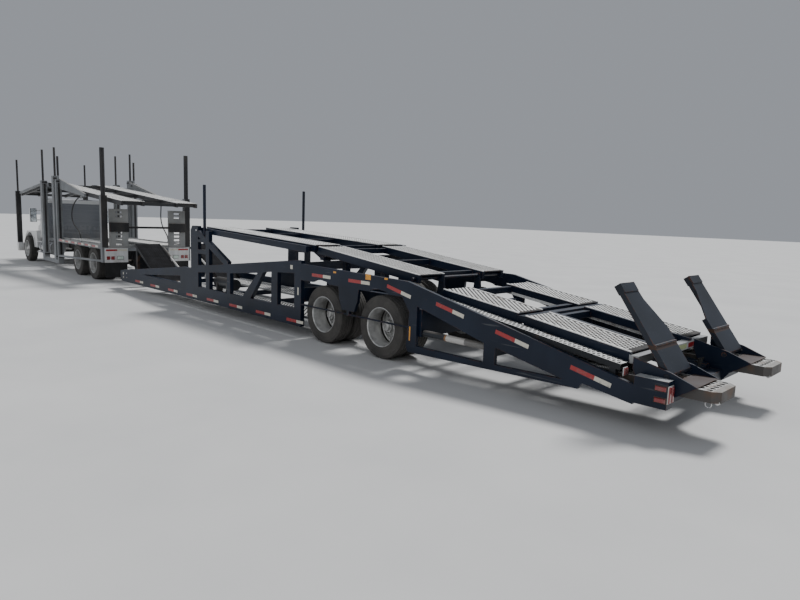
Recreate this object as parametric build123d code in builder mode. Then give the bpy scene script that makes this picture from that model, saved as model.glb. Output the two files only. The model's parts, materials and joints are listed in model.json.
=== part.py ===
"""Car transporter truck: a day-cab truck with an overhead rack, and a low semi-trailer on its stinger hitch.

Millimetres. +X forward, +Y left, +Z up. Origin on the ground at the middle of the rig's length.
"""

import os
from math import hypot, radians, tan

from build123d import *

os.makedirs("parts", exist_ok=True)

# Whole rig
RIG_WIDTH = 2590
SIDE = RIG_WIDTH / 2
SIDES = ((1, "left"), (-1, "right"))
GAP = 6  # clearance between pieces that move

# Driving places along the rig
TRAILER_X = -6750  # trailer's front axle
BOGIE = 1400  # from one axle of a pair to the other
PIVOT_X = 2550  # hitch pivot
DRIVE_AHEAD = 1800  # from the pivot to the rear drive axle
WHEELBASE = 7300  # from the rear drive axle to the steered axle
DRIVE_X = PIVOT_X + DRIVE_AHEAD
STEER_X = DRIVE_X + WHEELBASE

# Wheels and tyres
TYRE_RADIUS = 480
TYRE_WIDTH = 275
TYRE_SIDES = 28
SHOULDER = 45
SHOULDER_DROP = 26
RIM_RADIUS = 288
RIM_SIDES = 14
RIM_WALL = 20
DISC_THICK = 16
HUB_RADIUS = 120
TWIN_SPACING = 320
TWIN_FACE = SIDE - 55  # outer tyre face of a twin pair
STEER_FACE = SIDE - 67  # outer tyre face of a steered wheel

# Hitch
KINGPIN_RADIUS = 25.4
KINGPIN_PLAY = 0.05
HITCH_TOP = 440
HITCH_RADIUS = 330
HITCH_BOTTOM = 250
PLATE_GAP = 1.5

# Truck chassis
RAIL_IN = 345
RAIL_OUT = 425
RAIL_LOW = 620
RAIL_HIGH = 880
TRUCK_TAIL = PIVOT_X + 1000
RAIL_FRONT = STEER_X + 740

# Rack
POST_DEPTH = 165  # across the vehicle
POST_IN = SIDE - POST_DEPTH
DECK_IN = 450  # truck runway's inner edge
DECK_OUT = POST_IN - 40  # truck runway's outer edge

# Decks everywhere
SHEET_THICK = 12
BEAM_DEEP = 110
BEAM_WIDE = 60
RIB_PITCH = 1300
RIB_WIDE = 60
RIB_DEEP = 50
PIN_RADIUS = 24
PIN_PLAY = 3
PIN_SIDES = 8
PIN_INSET = 70  # from a deck's end to its hinge pin


def finish(piece, name):
    """Name a finished piece and write it."""
    piece.part.label = name
    export_step(piece.part, f"parts/{name}.step")


def bar(start, end, wide, deep):
    """A straight box bar: wide across the vehicle, deep at right angles to its run."""
    run = Vector(*end) - Vector(*start)
    across = (1, 0, 0) if abs(run.Y) > 0.7 * run.length else (0, 1, 0)
    with BuildSketch(Plane(origin=start, x_dir=across, z_dir=run)) as section:
        Rectangle(wide, deep)
    extrude(section.sketch, amount=run.length)


def side_bars(rows, y_low, y_high):
    """Bars in one side frame. Each row is x, z, x, z and depth of the bar."""
    middle = (y_low + y_high) / 2
    for x_a, z_a, x_b, z_b, deep in rows:
        bar((x_a, middle, z_a), (x_b, middle, z_b), y_high - y_low, deep)


def side_plate(outline, y_low, y_high, mode=Mode.ADD):
    """A plate standing along the vehicle, from an outline of x and z."""
    with BuildSketch(Plane.XZ.offset(-y_high)) as face:
        Polygon(*outline, align=None)
    extrude(face.sketch, amount=y_high - y_low, mode=mode)


def block(x_low, x_high, y_low, y_high, z_low, z_high, mode=Mode.ADD):
    """A box given by its six faces."""
    with BuildSketch(Plane.XY.offset(z_low)) as base:
        with Locations(((x_low + x_high) / 2, (y_low + y_high) / 2)):
            Rectangle(x_high - x_low, y_high - y_low)
    extrude(base.sketch, amount=z_high - z_low, mode=mode)


def tube(start, end, radius, mode=Mode.ADD):
    """A round bar between two points."""
    run = Vector(*end) - Vector(*start)
    with BuildSketch(Plane(origin=start, z_dir=run)) as section:
        Circle(radius)
    extrude(section.sketch, amount=run.length, mode=mode)


def faceted(start, end, radius, sides=12, mode=Mode.ADD):
    """A many-sided bar between two points, its flats touching the radius."""
    run = Vector(*end) - Vector(*start)
    with BuildSketch(Plane(origin=start, z_dir=run)) as section:
        RegularPolygon(radius, sides, major_radius=False, rotation=180 / sides)
    extrude(section.sketch, amount=run.length, mode=mode)


def spread(side, near, far):
    """The low and high y of a stretch from near to far on one side."""
    return sorted((side * near, side * far))


def wheel_profile(axle_x, y, flat, sides):
    """A many-sided outline round an axle line at one y."""
    with BuildSketch(Plane.XZ.offset(-y)) as face:
        with Locations((axle_x, TYRE_RADIUS)):
            RegularPolygon(flat, sides, major_radius=False, rotation=180 / sides)
    return face.sketch


def drum(axle_x, y_from, y_to, flat, sides, mode=Mode.ADD):
    """A many-sided disc or drum on an axle line; flat is its radius to the flats."""
    y_low, y_high = sorted((y_from, y_to))
    extrude(wheel_profile(axle_x, y_high, flat, sides), amount=y_high - y_low, mode=mode)


def tyre(axle_x, side, face_y):
    """One tyre whose outer face is at face_y: straight tread, sloped outer shoulder, bored for its rim."""
    inner_y = face_y - TYRE_WIDTH
    shoulder_y = face_y - SHOULDER
    drum(axle_x, side * inner_y, side * shoulder_y, TYRE_RADIUS, TYRE_SIDES)
    root = wheel_profile(axle_x, side * shoulder_y, TYRE_RADIUS, TYRE_SIDES)
    tip = wheel_profile(axle_x, side * face_y, TYRE_RADIUS - SHOULDER_DROP, TYRE_SIDES)
    loft([root.face(), tip.face()], ruled=True)
    drum(axle_x, side * (inner_y - 1), side * (face_y + 1), RIM_RADIUS, RIM_SIDES, Mode.SUBTRACT)


def rim(axle_x, side, face_y, tyre_count, disc_y, hub_y):
    """One rim drum with its disc and hub."""
    inner_y = face_y - TYRE_WIDTH - (tyre_count - 1) * TWIN_SPACING
    drum(axle_x, side * inner_y, side * face_y, RIM_RADIUS, RIM_SIDES)
    bore = RIM_RADIUS - RIM_WALL
    drum(axle_x, side * (disc_y + DISC_THICK), side * (face_y + 1), bore, RIM_SIDES, Mode.SUBTRACT)
    drum(axle_x, side * (inner_y - 1), side * disc_y, bore, RIM_SIDES, Mode.SUBTRACT)
    drum(axle_x, side * disc_y, side * hub_y, HUB_RADIUS, RIM_SIDES)


# Wheels. Columns: name, axle x, tyres on the wheel, outer tyre face, disc y, hub y
TWIN_DISC = TWIN_FACE - TYRE_WIDTH - 60
STEER_DISC = STEER_FACE - 95
WHEELS = (
    ("steer", STEER_X, 1, STEER_FACE, STEER_DISC, STEER_FACE - 5),
    ("drive_front", DRIVE_X + BOGIE, 2, TWIN_FACE, TWIN_DISC, TWIN_FACE - 120),
    ("drive_rear", DRIVE_X, 2, TWIN_FACE, TWIN_DISC, TWIN_FACE - 120),
    ("trailer_front", TRAILER_X, 2, TWIN_FACE, TWIN_DISC, TWIN_FACE - 120),
    ("trailer_rear", TRAILER_X - BOGIE, 2, TWIN_FACE, TWIN_DISC, TWIN_FACE - 120),
)
for wheel, axle_x, tyre_count, face_y, disc_y, hub_y in WHEELS:
    for side, word in SIDES:
        with BuildPart() as tyres:
            for pair in range(tyre_count):
                tyre(axle_x, side, face_y - pair * TWIN_SPACING)
        finish(tyres, f"tyres_{wheel}_{word}")
        with BuildPart() as wheel_rim:
            rim(axle_x, side, face_y, tyre_count, disc_y, hub_y)
        finish(wheel_rim, f"rim_{wheel}_{word}")

# Drive axles: a round case with a bowl in the middle, under the rails
AXLE_RADIUS = 70
AXLE_END = TWIN_DISC - GAP
BOWL_RADIUS = 150
PERCH_X = 160
PERCH_LOW = TYRE_RADIUS + 40
with BuildPart() as drive_axles:
    for axle_x in (DRIVE_X, DRIVE_X + BOGIE):
        faceted((axle_x, -AXLE_END, TYRE_RADIUS), (axle_x, AXLE_END, TYRE_RADIUS), AXLE_RADIUS)
        faceted((axle_x - 190, 0, TYRE_RADIUS), (axle_x + 230, 0, TYRE_RADIUS), BOWL_RADIUS)
        for side, _ in SIDES:
            block(axle_x - PERCH_X, axle_x + PERCH_X, *spread(side, RAIL_IN, RAIL_OUT), PERCH_LOW, RAIL_LOW)
finish(drive_axles, "drive_axles")

# Steered axle: a dropped beam on two leaf springs, with a fork-shaped knuckle on each kingpin
KING_Y = STEER_FACE - 328
KING_RADIUS = 50
BEAM_END_Z = 75
FORK_GAP = 2
FORK_THICK = 40
FORK_REACH = 95
SPRING_Y = 385
SPRING_HALF = 38
SPRING_RUN = 720
with BuildPart() as front_axle:
    bar((STEER_X, -760, 365), (STEER_X, 760, 365), 110, 90)
    for side, _ in SIDES:
        bar((STEER_X, side * 740, 400), (STEER_X, side * KING_Y, TYRE_RADIUS), 100, 70)
        king = TYRE_RADIUS - BEAM_END_Z, TYRE_RADIUS + BEAM_END_Z
        faceted((STEER_X, side * KING_Y, king[0]), (STEER_X, side * KING_Y, king[1]), KING_RADIUS, 10)
        spring = (
            (-SPRING_RUN, 600), (-300, 455), (300, 455), (SPRING_RUN, 600),
            (SPRING_RUN, 620), (300, 505), (-300, 505), (-SPRING_RUN, 620),
        )
        low, high = spread(side, SPRING_Y - SPRING_HALF, SPRING_Y + SPRING_HALF)
        side_plate([(STEER_X + x, z) for x, z in spring], low, high)
        block(STEER_X - 60, STEER_X + 60, low, high, 400, 460)
finish(front_axle, "front_axle")

for side, word in SIDES:
    with BuildPart() as knuckle:
        for level in (1, -1):
            near = TYRE_RADIUS + level * (BEAM_END_Z + FORK_GAP)
            far = near + level * FORK_THICK
            faceted((STEER_X, side * KING_Y, near), (STEER_X, side * KING_Y, far), KING_RADIUS, 10)
            arm = spread(side, KING_Y, KING_Y + FORK_REACH)
            block(STEER_X - KING_RADIUS, STEER_X + KING_RADIUS, *arm, *sorted((near, far)))
        reach = BEAM_END_Z + FORK_GAP + FORK_THICK
        arm = spread(side, KING_Y + FORK_REACH - 30, KING_Y + FORK_REACH)
        block(STEER_X - 80, STEER_X + 80, *arm, TYRE_RADIUS - reach, TYRE_RADIUS + reach)
        spindle = (STEER_X, side * (KING_Y + 80), TYRE_RADIUS), (STEER_X, side * (STEER_DISC - 2), TYRE_RADIUS)
        faceted(*spindle, 45, 10)
    finish(knuckle, f"knuckle_{word}")

# Truck chassis: two rails, their cross members, and the stinger that drops behind the drive axles
MEMBERS = (TRUCK_TAIL + 150, DRIVE_X + BOGIE / 2 - 50, DRIVE_X + 3000, DRIVE_X + 4500, DRIVE_X + 5600, RAIL_FRONT - 150)
STINGER_SIDE = 70
STINGER_TOP_X = TRUCK_TAIL + 60
with BuildPart() as chassis_frame:
    for side, _ in SIDES:
        block(TRUCK_TAIL, RAIL_FRONT, *spread(side, RAIL_IN, RAIL_OUT), RAIL_LOW, RAIL_HIGH)
    for x in MEMBERS:
        block(x, x + 100, -RAIL_IN, RAIL_IN, RAIL_LOW + 40, RAIL_HIGH - 20)
    block(PIVOT_X, STINGER_TOP_X - 250, -HITCH_RADIUS, HITCH_RADIUS, HITCH_BOTTOM, HITCH_TOP)
    faceted((PIVOT_X, 0, HITCH_BOTTOM), (PIVOT_X, 0, HITCH_TOP), HITCH_RADIUS, 16)
    for side, _ in SIDES:
        outline = (
            (STINGER_TOP_X - 500, HITCH_BOTTOM), (STINGER_TOP_X - 500, HITCH_TOP), (STINGER_TOP_X - 140, RAIL_HIGH),
            (STINGER_TOP_X + 60, RAIL_HIGH), (STINGER_TOP_X + 60, RAIL_LOW), (STINGER_TOP_X - 100, HITCH_BOTTOM),
        )
        side_plate(outline, *spread(side, RAIL_IN - STINGER_SIDE, RAIL_IN))
    tube((PIVOT_X, 0, HITCH_BOTTOM - 1), (PIVOT_X, 0, HITCH_TOP + 1), KINGPIN_RADIUS + KINGPIN_PLAY, Mode.SUBTRACT)
finish(chassis_frame, "chassis_frame")

# Engine: one plain block between the rails
with BuildPart() as engine:
    block(STEER_X - 900, STEER_X + 450, -RAIL_IN + 25, RAIL_IN - 25, RAIL_LOW + 20, 1150)
finish(engine, "engine")

# Cab shell
CAB_REAR = STEER_X - 2030
CAB_FRONT = STEER_X - 950
CAB_HALF = 1000
CAB_WALL = 55
CAB_FLOOR = 930
CAB_ROOF = 2360
COWL_Z = 1640
DOOR_REAR = CAB_REAR + 110
DOOR_FRONT = CAB_FRONT - 150
DOOR_LOW = CAB_FLOOR + 70
DOOR_HIGH = CAB_ROOF - 110
DOOR_SILL = 1600
PILLAR = 70
cab_outline = (
    (CAB_REAR, CAB_FLOOR), (CAB_FRONT, CAB_FLOOR), (CAB_FRONT, COWL_Z), (CAB_FRONT - 480, CAB_ROOF - 40),
    (CAB_FRONT - 640, CAB_ROOF), (CAB_REAR, CAB_ROOF - 30),
)
cab_inside = (
    (CAB_REAR + CAB_WALL, CAB_FLOOR + CAB_WALL), (CAB_FRONT - CAB_WALL, CAB_FLOOR + CAB_WALL),
    (CAB_FRONT - CAB_WALL, COWL_Z - 20), (CAB_FRONT - 510, CAB_ROOF - 40 - CAB_WALL),
    (CAB_FRONT - 640, CAB_ROOF - CAB_WALL), (CAB_REAR + CAB_WALL, CAB_ROOF - 30 - CAB_WALL),
)
door_outline = (
    (DOOR_REAR, DOOR_LOW), (DOOR_FRONT, DOOR_LOW), (DOOR_FRONT, COWL_Z - 20),
    (DOOR_FRONT - 330, DOOR_HIGH), (DOOR_REAR, DOOR_HIGH),
)
window_outline = (
    (DOOR_REAR + PILLAR, DOOR_SILL), (DOOR_FRONT - PILLAR, DOOR_SILL), (DOOR_FRONT - PILLAR - 10, COWL_Z - 10),
    (DOOR_FRONT - 330 - PILLAR / 2, DOOR_HIGH - PILLAR), (DOOR_REAR + PILLAR, DOOR_HIGH - PILLAR),
)
BACK_RIBS = 8  # pressed ribs across the closed rear wall
BACK_PITCH = 140
BACK_RIB = 18
BACK_LOW = 1110
BACK_HALF = CAB_HALF - 60


def grown(outline, by):
    """The same outline pushed out by a clearance."""
    with BuildSketch() as face:
        Polygon(*outline, align=None)
        offset(amount=by, kind=Kind.INTERSECTION)
    return [(v.X, v.Y) for v in face.sketch.face().outer_wire().order_edges().vertices()]


with BuildPart() as cab_shell:
    side_plate(cab_outline, -CAB_HALF, CAB_HALF)
    side_plate(cab_inside, -CAB_HALF + CAB_WALL, CAB_HALF - CAB_WALL, Mode.SUBTRACT)
    side_plate(grown(door_outline, GAP), -CAB_HALF - 1, CAB_HALF + 1, Mode.SUBTRACT)
    shield = (
        (CAB_FRONT - 200, COWL_Z + 70), (CAB_FRONT + 200, COWL_Z + 70),
        (CAB_FRONT - 200, CAB_ROOF - 120), (CAB_FRONT - 600, CAB_ROOF - 120),
    )
    side_plate(shield, -CAB_HALF + 130, CAB_HALF - 130, Mode.SUBTRACT)
    for number in range(BACK_RIBS):
        foot = BACK_LOW + number * BACK_PITCH
        block(CAB_REAR - BACK_RIB, CAB_REAR, -BACK_HALF, BACK_HALF, foot, foot + BACK_PITCH / 2)
finish(cab_shell, "cab_shell")

with BuildPart() as seats:
    for side, _ in SIDES:
        width = spread(side, 250, 780)
        block(CAB_REAR + 110, CAB_REAR + 560, *width, CAB_FLOOR + CAB_WALL, 1330)
        block(CAB_REAR + 110, CAB_REAR + 230, *width, 1330, 2000)
finish(seats, "seats")

# Dashboard and the wheel on its column, in front of the left seat
DASH_FRONT = CAB_FRONT - CAB_WALL
STEERING = (CAB_FRONT - 395, 515, 1500)
COLUMN_TILT = Vector(-0.5, 0, 0.87)
with BuildPart() as dashboard:
    block(CAB_FRONT - 330, DASH_FRONT, -CAB_HALF + CAB_WALL + 10, CAB_HALF - CAB_WALL - 10, 1250, 1560)
    hub = Vector(*STEERING)
    faceted(tuple(hub - COLUMN_TILT * 130), tuple(hub + COLUMN_TILT * 15), 30, 8)
    bar(tuple(hub - COLUMN_TILT * 120), (CAB_FRONT - 320, STEERING[1], 1400), 60, 60)
    with BuildSketch(Plane(origin=STEERING, x_dir=(0, 1, 0), z_dir=tuple(COLUMN_TILT))) as ring:
        RegularPolygon(230, 12)
        RegularPolygon(200, 12, mode=Mode.SUBTRACT)
        Rectangle(420, 30)
    extrude(ring.sketch, amount=25)
finish(dashboard, "dashboard")

# Windscreen pane
GLASS = 8
PANE_GAP = 5
with BuildPart() as cab_glass:
    slope = Vector(-480, 0, CAB_ROOF - 40 - COWL_Z).normalized()
    low_edge = Vector(CAB_FRONT, 0, COWL_Z) + slope * 115 - Vector(slope.Z, 0, -slope.X) * 28
    high_edge = low_edge + slope * 600
    bar(tuple(low_edge), tuple(high_edge), 2 * (CAB_HALF - 130 - PANE_GAP), GLASS)
finish(cab_glass, "cab_glass")

# Cab doors with their mirrors, hinged at the front edge
MIRROR_OUT = 1400
for side, word in SIDES:
    with BuildPart() as door:
        low, high = spread(side, CAB_HALF - CAB_WALL, CAB_HALF)
        side_plate(door_outline, low, high)
        side_plate(window_outline, low - 1, high + 1, Mode.SUBTRACT)
        for level in (1560, 1900):
            block(DOOR_FRONT - 205, DOOR_FRONT - 175, *spread(side, CAB_HALF - 20, MIRROR_OUT - 60), level, level + 30)
        block(DOOR_FRONT - 230, DOOR_FRONT - 150, *spread(side, MIRROR_OUT - 210, MIRROR_OUT), 1500, 1990)
    finish(door, f"door_{word}")

# Hood: one shell with both fenders, tilting forward on the front cross member
HOOD_REAR = CAB_FRONT + GAP
HOOD_FRONT = STEER_X + 790
HOOD_HALF = 640
FENDER_OUT = 1120
FENDER_FRONT = STEER_X + 640
FENDER_TOP = 1130
ARCH_RADIUS = 580
SKIN = 30
HOOD_LOW = 700
GRILLE_HALF = 430
GRILLE_LOW = 760
GRILLE_HIGH = 1170
LAMP = (760, 1040, 740, 900)  # near y, far y, low z, high z
with BuildPart() as hood:
    outline = (
        (HOOD_REAR, HOOD_LOW), (HOOD_REAR, COWL_Z), (HOOD_FRONT - 260, 1370),
        (HOOD_FRONT - 60, 1290), (HOOD_FRONT, 1180), (HOOD_FRONT, HOOD_LOW),
    )
    side_plate(outline, -HOOD_HALF, HOOD_HALF)
    for side, _ in SIDES:
        fender = (
            (HOOD_REAR, 560), (HOOD_REAR, 1180), (STEER_X - 350, FENDER_TOP),
            (STEER_X + 350, FENDER_TOP), (FENDER_FRONT, 930), (FENDER_FRONT, 560),
        )
        side_plate(fender, *spread(side, HOOD_HALF - 1, FENDER_OUT))
    inner = (
        (HOOD_REAR - 1, HOOD_LOW - 1), (HOOD_REAR - 1, COWL_Z - SKIN), (HOOD_FRONT - 280, 1370 - SKIN),
        (HOOD_FRONT - 90, 1250), (HOOD_FRONT - SKIN, 1160), (HOOD_FRONT - SKIN, HOOD_LOW - 1),
    )
    side_plate(inner, -HOOD_HALF + SKIN, HOOD_HALF - SKIN, Mode.SUBTRACT)
    arch_z = TYRE_RADIUS + 20
    faceted((STEER_X, -FENDER_OUT - 1, arch_z), (STEER_X, FENDER_OUT + 1, arch_z), ARCH_RADIUS, 24, Mode.SUBTRACT)
    block(HOOD_FRONT - SKIN - 1, HOOD_FRONT + 1, -GRILLE_HALF, GRILLE_HALF, GRILLE_LOW, GRILLE_HIGH, Mode.SUBTRACT)
    for side, _ in SIDES:
        block(FENDER_FRONT - 40, FENDER_FRONT + 1, *spread(side, *LAMP[:2]), *LAMP[2:], Mode.SUBTRACT)
finish(hood, "hood")

# Grille bars across the hood's nose
GRILLE_BARS = 7
with BuildPart() as grille:
    step = (GRILLE_HIGH - GRILLE_LOW) / GRILLE_BARS
    for level in range(GRILLE_BARS):
        low = GRILLE_LOW + step * (level + 0.25)
        block(HOOD_FRONT - 24, HOOD_FRONT - 8, -GRILLE_HALF, GRILLE_HALF, low, low + step / 2)
finish(grille, "grille")

with BuildPart() as headlamps:
    for side, _ in SIDES:
        block(FENDER_FRONT - 40, FENDER_FRONT + 4, *spread(side, *LAMP[:2]), *LAMP[2:])
finish(headlamps, "headlamps")

# Front bumper with its two tow pin bores
BUMPER_BACK = STEER_X + 830
BUMPER_FRONT = STEER_X + 1200
BUMPER_LOW = 330
BUMPER_HIGH = 640
TOW_RADIUS = 20
with BuildPart() as bumper:
    nose = (
        (BUMPER_BACK + 120, BUMPER_LOW), (BUMPER_FRONT - 60, BUMPER_LOW), (BUMPER_FRONT, BUMPER_LOW + 70),
        (BUMPER_FRONT, BUMPER_HIGH), (BUMPER_BACK + 120, BUMPER_HIGH),
    )
    side_plate(nose, -SIDE + 10, SIDE - 10)
    for side, _ in SIDES:
        block(RAIL_FRONT, BUMPER_BACK + 120, *spread(side, RAIL_IN, RAIL_OUT), 420, BUMPER_HIGH)
        tow_x = BUMPER_FRONT - 120
        tow_y = side * (RAIL_IN + RAIL_OUT) / 2
        tube((tow_x, tow_y, BUMPER_LOW - 1), (tow_x, tow_y, BUMPER_HIGH + 1), TOW_RADIUS, Mode.SUBTRACT)
finish(bumper, "bumper")

# Fuel tanks and steps under the cab
FUEL_TANK_RADIUS = 250
FUEL_TANK_Y = 830
with BuildPart() as side_tanks:
    for side, _ in SIDES:
        y = side * FUEL_TANK_Y
        faceted((CAB_REAR - 400, y, 600), (CAB_FRONT - 60, y, 600), FUEL_TANK_RADIUS, 16)
        for x in (CAB_REAR - 250, CAB_FRONT - 200):
            block(x, x + 80, *spread(side, RAIL_OUT, FUEL_TANK_Y - 130), 640, 780)
        for level in (400, 780):
            block(CAB_REAR + 330, CAB_FRONT - 100, *spread(side, 900, 1150), level, level + 40)
finish(side_tanks, "side_tanks")

# Places of the rack posts
REAR_POST_X = PIVOT_X + 900
CAB_POST_X = CAB_REAR - 370
MID_POST_X = CAB_POST_X - 1450
FRONT_POST_X = STEER_X + 1050

# Overhead decks: ends of their surfaces as x, z
OVER_HINGE = (CAB_POST_X + 150, 2900)
OVER_FRONT = (FRONT_POST_X + 100, 2560)
OVER_TOP = (CAB_POST_X - 250, 2890)
OVER_TAIL = (PIVOT_X - 100, 2300)


def deck_frame(front, rear):
    """The run of a deck's surface and its downward normal."""
    run = Vector(rear[0] - front[0], 0, rear[1] - front[1])
    along = run.normalized()
    return run, Vector(-along.Z, 0, along.X) * (1 if along.X < 0 else -1)


def pin_spot(front, rear, inset):
    """The hinge pin's place in a deck's side beams; a negative inset counts from the rear end."""
    run, down = deck_frame(front, rear)
    reach = inset if inset > 0 else run.length + inset
    return Vector(front[0], 0, front[1]) + run.normalized() * reach + down * (SHEET_THICK + BEAM_DEEP / 2)


def deck(front, rear, y_in, y_out, rail_out, cross, pin_inset=None):
    """A deck of two runways on side beams, ribs and cross beams.

    front and rear are (x, z) of the surface, rail_out is its outermost beam's y, cross holds shares of its run.
    """
    run, down = deck_frame(front, rear)
    along = run.normalized()
    ribs = int(run.length // RIB_PITCH)
    for side, _ in SIDES:
        start = Vector(front[0], side * (y_in + y_out) / 2, front[1])
        sheet = start + down * (SHEET_THICK / 2)
        bar(tuple(sheet), tuple(sheet + run), y_out - y_in, SHEET_THICK)
        for edge in sorted({y_in + BEAM_WIDE, y_out, rail_out}):
            beam = Vector(front[0], side * (edge - BEAM_WIDE / 2), front[1])
            beam += down * (SHEET_THICK + BEAM_DEEP / 2)
            bar(tuple(beam), tuple(beam + run), BEAM_WIDE, BEAM_DEEP)
        for number in range(1, ribs):
            rib = start + run * (number / ribs) + down * (SHEET_THICK + RIB_DEEP / 2)
            reach = Vector(0, (y_out - y_in) / 2 - BEAM_WIDE, 0)
            bar(tuple(rib - reach), tuple(rib + reach), RIB_WIDE, RIB_DEEP)
    for share in cross:
        spot = Vector(front[0], 0, front[1]) + run * share + down * (SHEET_THICK + BEAM_DEEP / 2)
        bar((spot.X, -rail_out, spot.Z), (spot.X, rail_out, spot.Z), 90, BEAM_DEEP - 20)
    if pin_inset:
        pin = pin_spot(front, rear, pin_inset)
        ends = (pin.X, -rail_out - 1, pin.Z), (pin.X, rail_out + 1, pin.Z)
        faceted(*ends, PIN_RADIUS + PIN_PLAY, PIN_SIDES, Mode.SUBTRACT)


with BuildPart() as overhead_front:
    deck(OVER_FRONT, OVER_HINGE, DECK_IN, DECK_OUT, DECK_OUT, (0.06, 0.5, 0.94), -PIN_INSET)
finish(overhead_front, "overhead_front")
with BuildPart() as overhead_rear:
    deck(OVER_TOP, OVER_TAIL, DECK_IN, DECK_OUT, DECK_OUT, (0.04, 0.28, 0.55, 0.84, 0.985), PIN_INSET)
finish(overhead_rear, "overhead_rear")

# Rack: posts with stakes, sills, side arms and guard rails, cross beams and the overhead decks' hinge pins
STAKE = 30
MAST_FOOT = 2450
MAST_RADIUS = 60
MAST_TOP = 3750
LEDGE = 90  # how far a deck's rest stands out of its post
HOSE_DIAMETER = 36
HOSE_TURNS = {
    # points chosen by hand along each hose, as distances behind the middle post, inside the rig's side, and z:
    # from the clip under its side arm to the clip on its sill
    "left": (
        (2400, 135, 2400), (2200, 135, 2400), (1920, 127, 2325), (1670, 115, 2180), (1510, 103, 1980),
        (1510, 89, 1770), (1690, 73, 1600), (1930, 57, 1500), (2170, 45, 1425), (2395, 36, 1340),
        (2486, 33, 1215), (2486, 33, 1070),
    ),
    "right": (
        (2650, 135, 2380), (2650, 135, 2240), (2610, 127, 2080), (2555, 115, 1900), (2550, 101, 1720),
        (2610, 85, 1560), (2720, 67, 1420), (2835, 52, 1310), (2910, 37, 1190), (2910, 37, 1070),
    ),
}
HOSE_ROUTES = {
    word: [(MID_POST_X - back, side * (SIDE - inside), z) for back, inside, z in HOSE_TURNS[word]]
    for side, word in SIDES
}
HOSE_CLIPS = {
    # end of its route, x low and high from that end, y inside the rig's side, z low and high
    "left": ((0, -70, 0, 163, 107, 2372, 2440), (-1, -30, 30, 59, 3, 1035, 1070)),
    "right": ((0, -30, 30, 163, 107, 2380, 2430), (-1, -30, 30, 59, 3, 1035, 1070)),
}
rear_pin = pin_spot(OVER_TOP, OVER_TAIL, PIN_INSET)
front_pin = pin_spot(OVER_FRONT, OVER_HINGE, -PIN_INSET)


def hose_radii(route):
    """The radius of each corner of a hose, as large as its two runs allow."""
    radii = []
    for before, corner, after in zip(route, route[1:], route[2:]):
        near, far = Vector(*corner) - Vector(*before), Vector(*after) - Vector(*corner)
        radii.append(0.45 * min(near.length, far.length) / tan(radians(near.get_angle(far)) / 2))
    return radii


with BuildPart() as rack_posts:
    posts = (
        # x of the post's rear face, x of its front face, foot z, top z
        (REAR_POST_X - 75, REAR_POST_X + 75, 560, MAST_FOOT),
        (MID_POST_X - 330, MID_POST_X - 210, 220, 2960),
        (MID_POST_X - 40, MID_POST_X + 160, 220, 3080),
        (CAB_POST_X - 170, CAB_POST_X + 60, 220, 2950),
        (FRONT_POST_X - 60, FRONT_POST_X + 60, BUMPER_HIGH, 2620),
    )
    for x_low, x_high, foot, top in posts:
        block(x_low, x_high, POST_IN, SIDE, foot, top)
    stakes = (
        # x, foot z, top z
        (FRONT_POST_X, 2620, 3800), (CAB_POST_X, 2950, 4000), (MID_POST_X + 60, 3080, 4000),
        (MID_POST_X - 270, 2960, 3700),
    )
    for x, foot, top in stakes:
        faceted((x, SIDE - POST_DEPTH / 2, foot - 10), (x, SIDE - POST_DEPTH / 2, top), STAKE, 6)
    sills = (
        # x, z, x, z, depth
        (MID_POST_X - 330, 280, CAB_POST_X + 60, 280, 120),
        (REAR_POST_X + 75, 990, MID_POST_X - 330, 990, 100),
    )
    side_bars(sills, POST_IN + 105, SIDE)
    side_bars(((REAR_POST_X + 75, 600, MID_POST_X - 330, 480, 60),), SIDE - 50, SIDE)
    arm = (
        (MID_POST_X + 100, 2700), (MID_POST_X + 100, 3040), (MID_POST_X - 400, 2960),
        (MID_POST_X - 2700, 2500), (MID_POST_X - 2700, 2400),
    )
    side_plate(arm, POST_IN, POST_IN + 60)
    side_bars(((FRONT_POST_X, 2540, CAB_POST_X, 2880, 80),), POST_IN, POST_IN + 60)
    hinge_plate = (
        (rear_pin.X - 60, rear_pin.Z - 80), (front_pin.X + 60, front_pin.Z - 80),
        (front_pin.X + 60, front_pin.Z + 60), (rear_pin.X - 60, rear_pin.Z + 60),
    )
    side_plate(hinge_plate, POST_IN, POST_IN + 20)
    mast_y = SIDE - POST_DEPTH / 2
    faceted((REAR_POST_X, mast_y, MAST_FOOT - 5), (REAR_POST_X, mast_y, MAST_TOP), MAST_RADIUS, 12)
    mirror(about=Plane.XZ)
    crossings = (
        # x low, x high, z low, z high
        (REAR_POST_X - 75, REAR_POST_X + 75, RAIL_HIGH, RAIL_HIGH + 90),
        (MID_POST_X - 40, MID_POST_X + 160, RAIL_HIGH, RAIL_HIGH + 90),
        (CAB_POST_X - 170, CAB_POST_X + 60, RAIL_HIGH, RAIL_HIGH + 90),
        (CAB_POST_X - 100, CAB_POST_X, 2700, 2790),
    )
    for x_low, x_high, low, high in crossings:
        block(x_low, x_high, -POST_IN, POST_IN, low, high)
    for pin in (rear_pin, front_pin):
        faceted((pin.X, -POST_IN, pin.Z), (pin.X, POST_IN, pin.Z), PIN_RADIUS, PIN_SIDES)
    for side, word in SIDES:
        for end, behind, before, inner, outer, low, high in HOSE_CLIPS[word]:
            x = HOSE_ROUTES[word][end][0]
            block(x + behind, x + before, *spread(side, SIDE - inner, SIDE - outer), low, high)
finish(rack_posts, "rack_posts")

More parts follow.
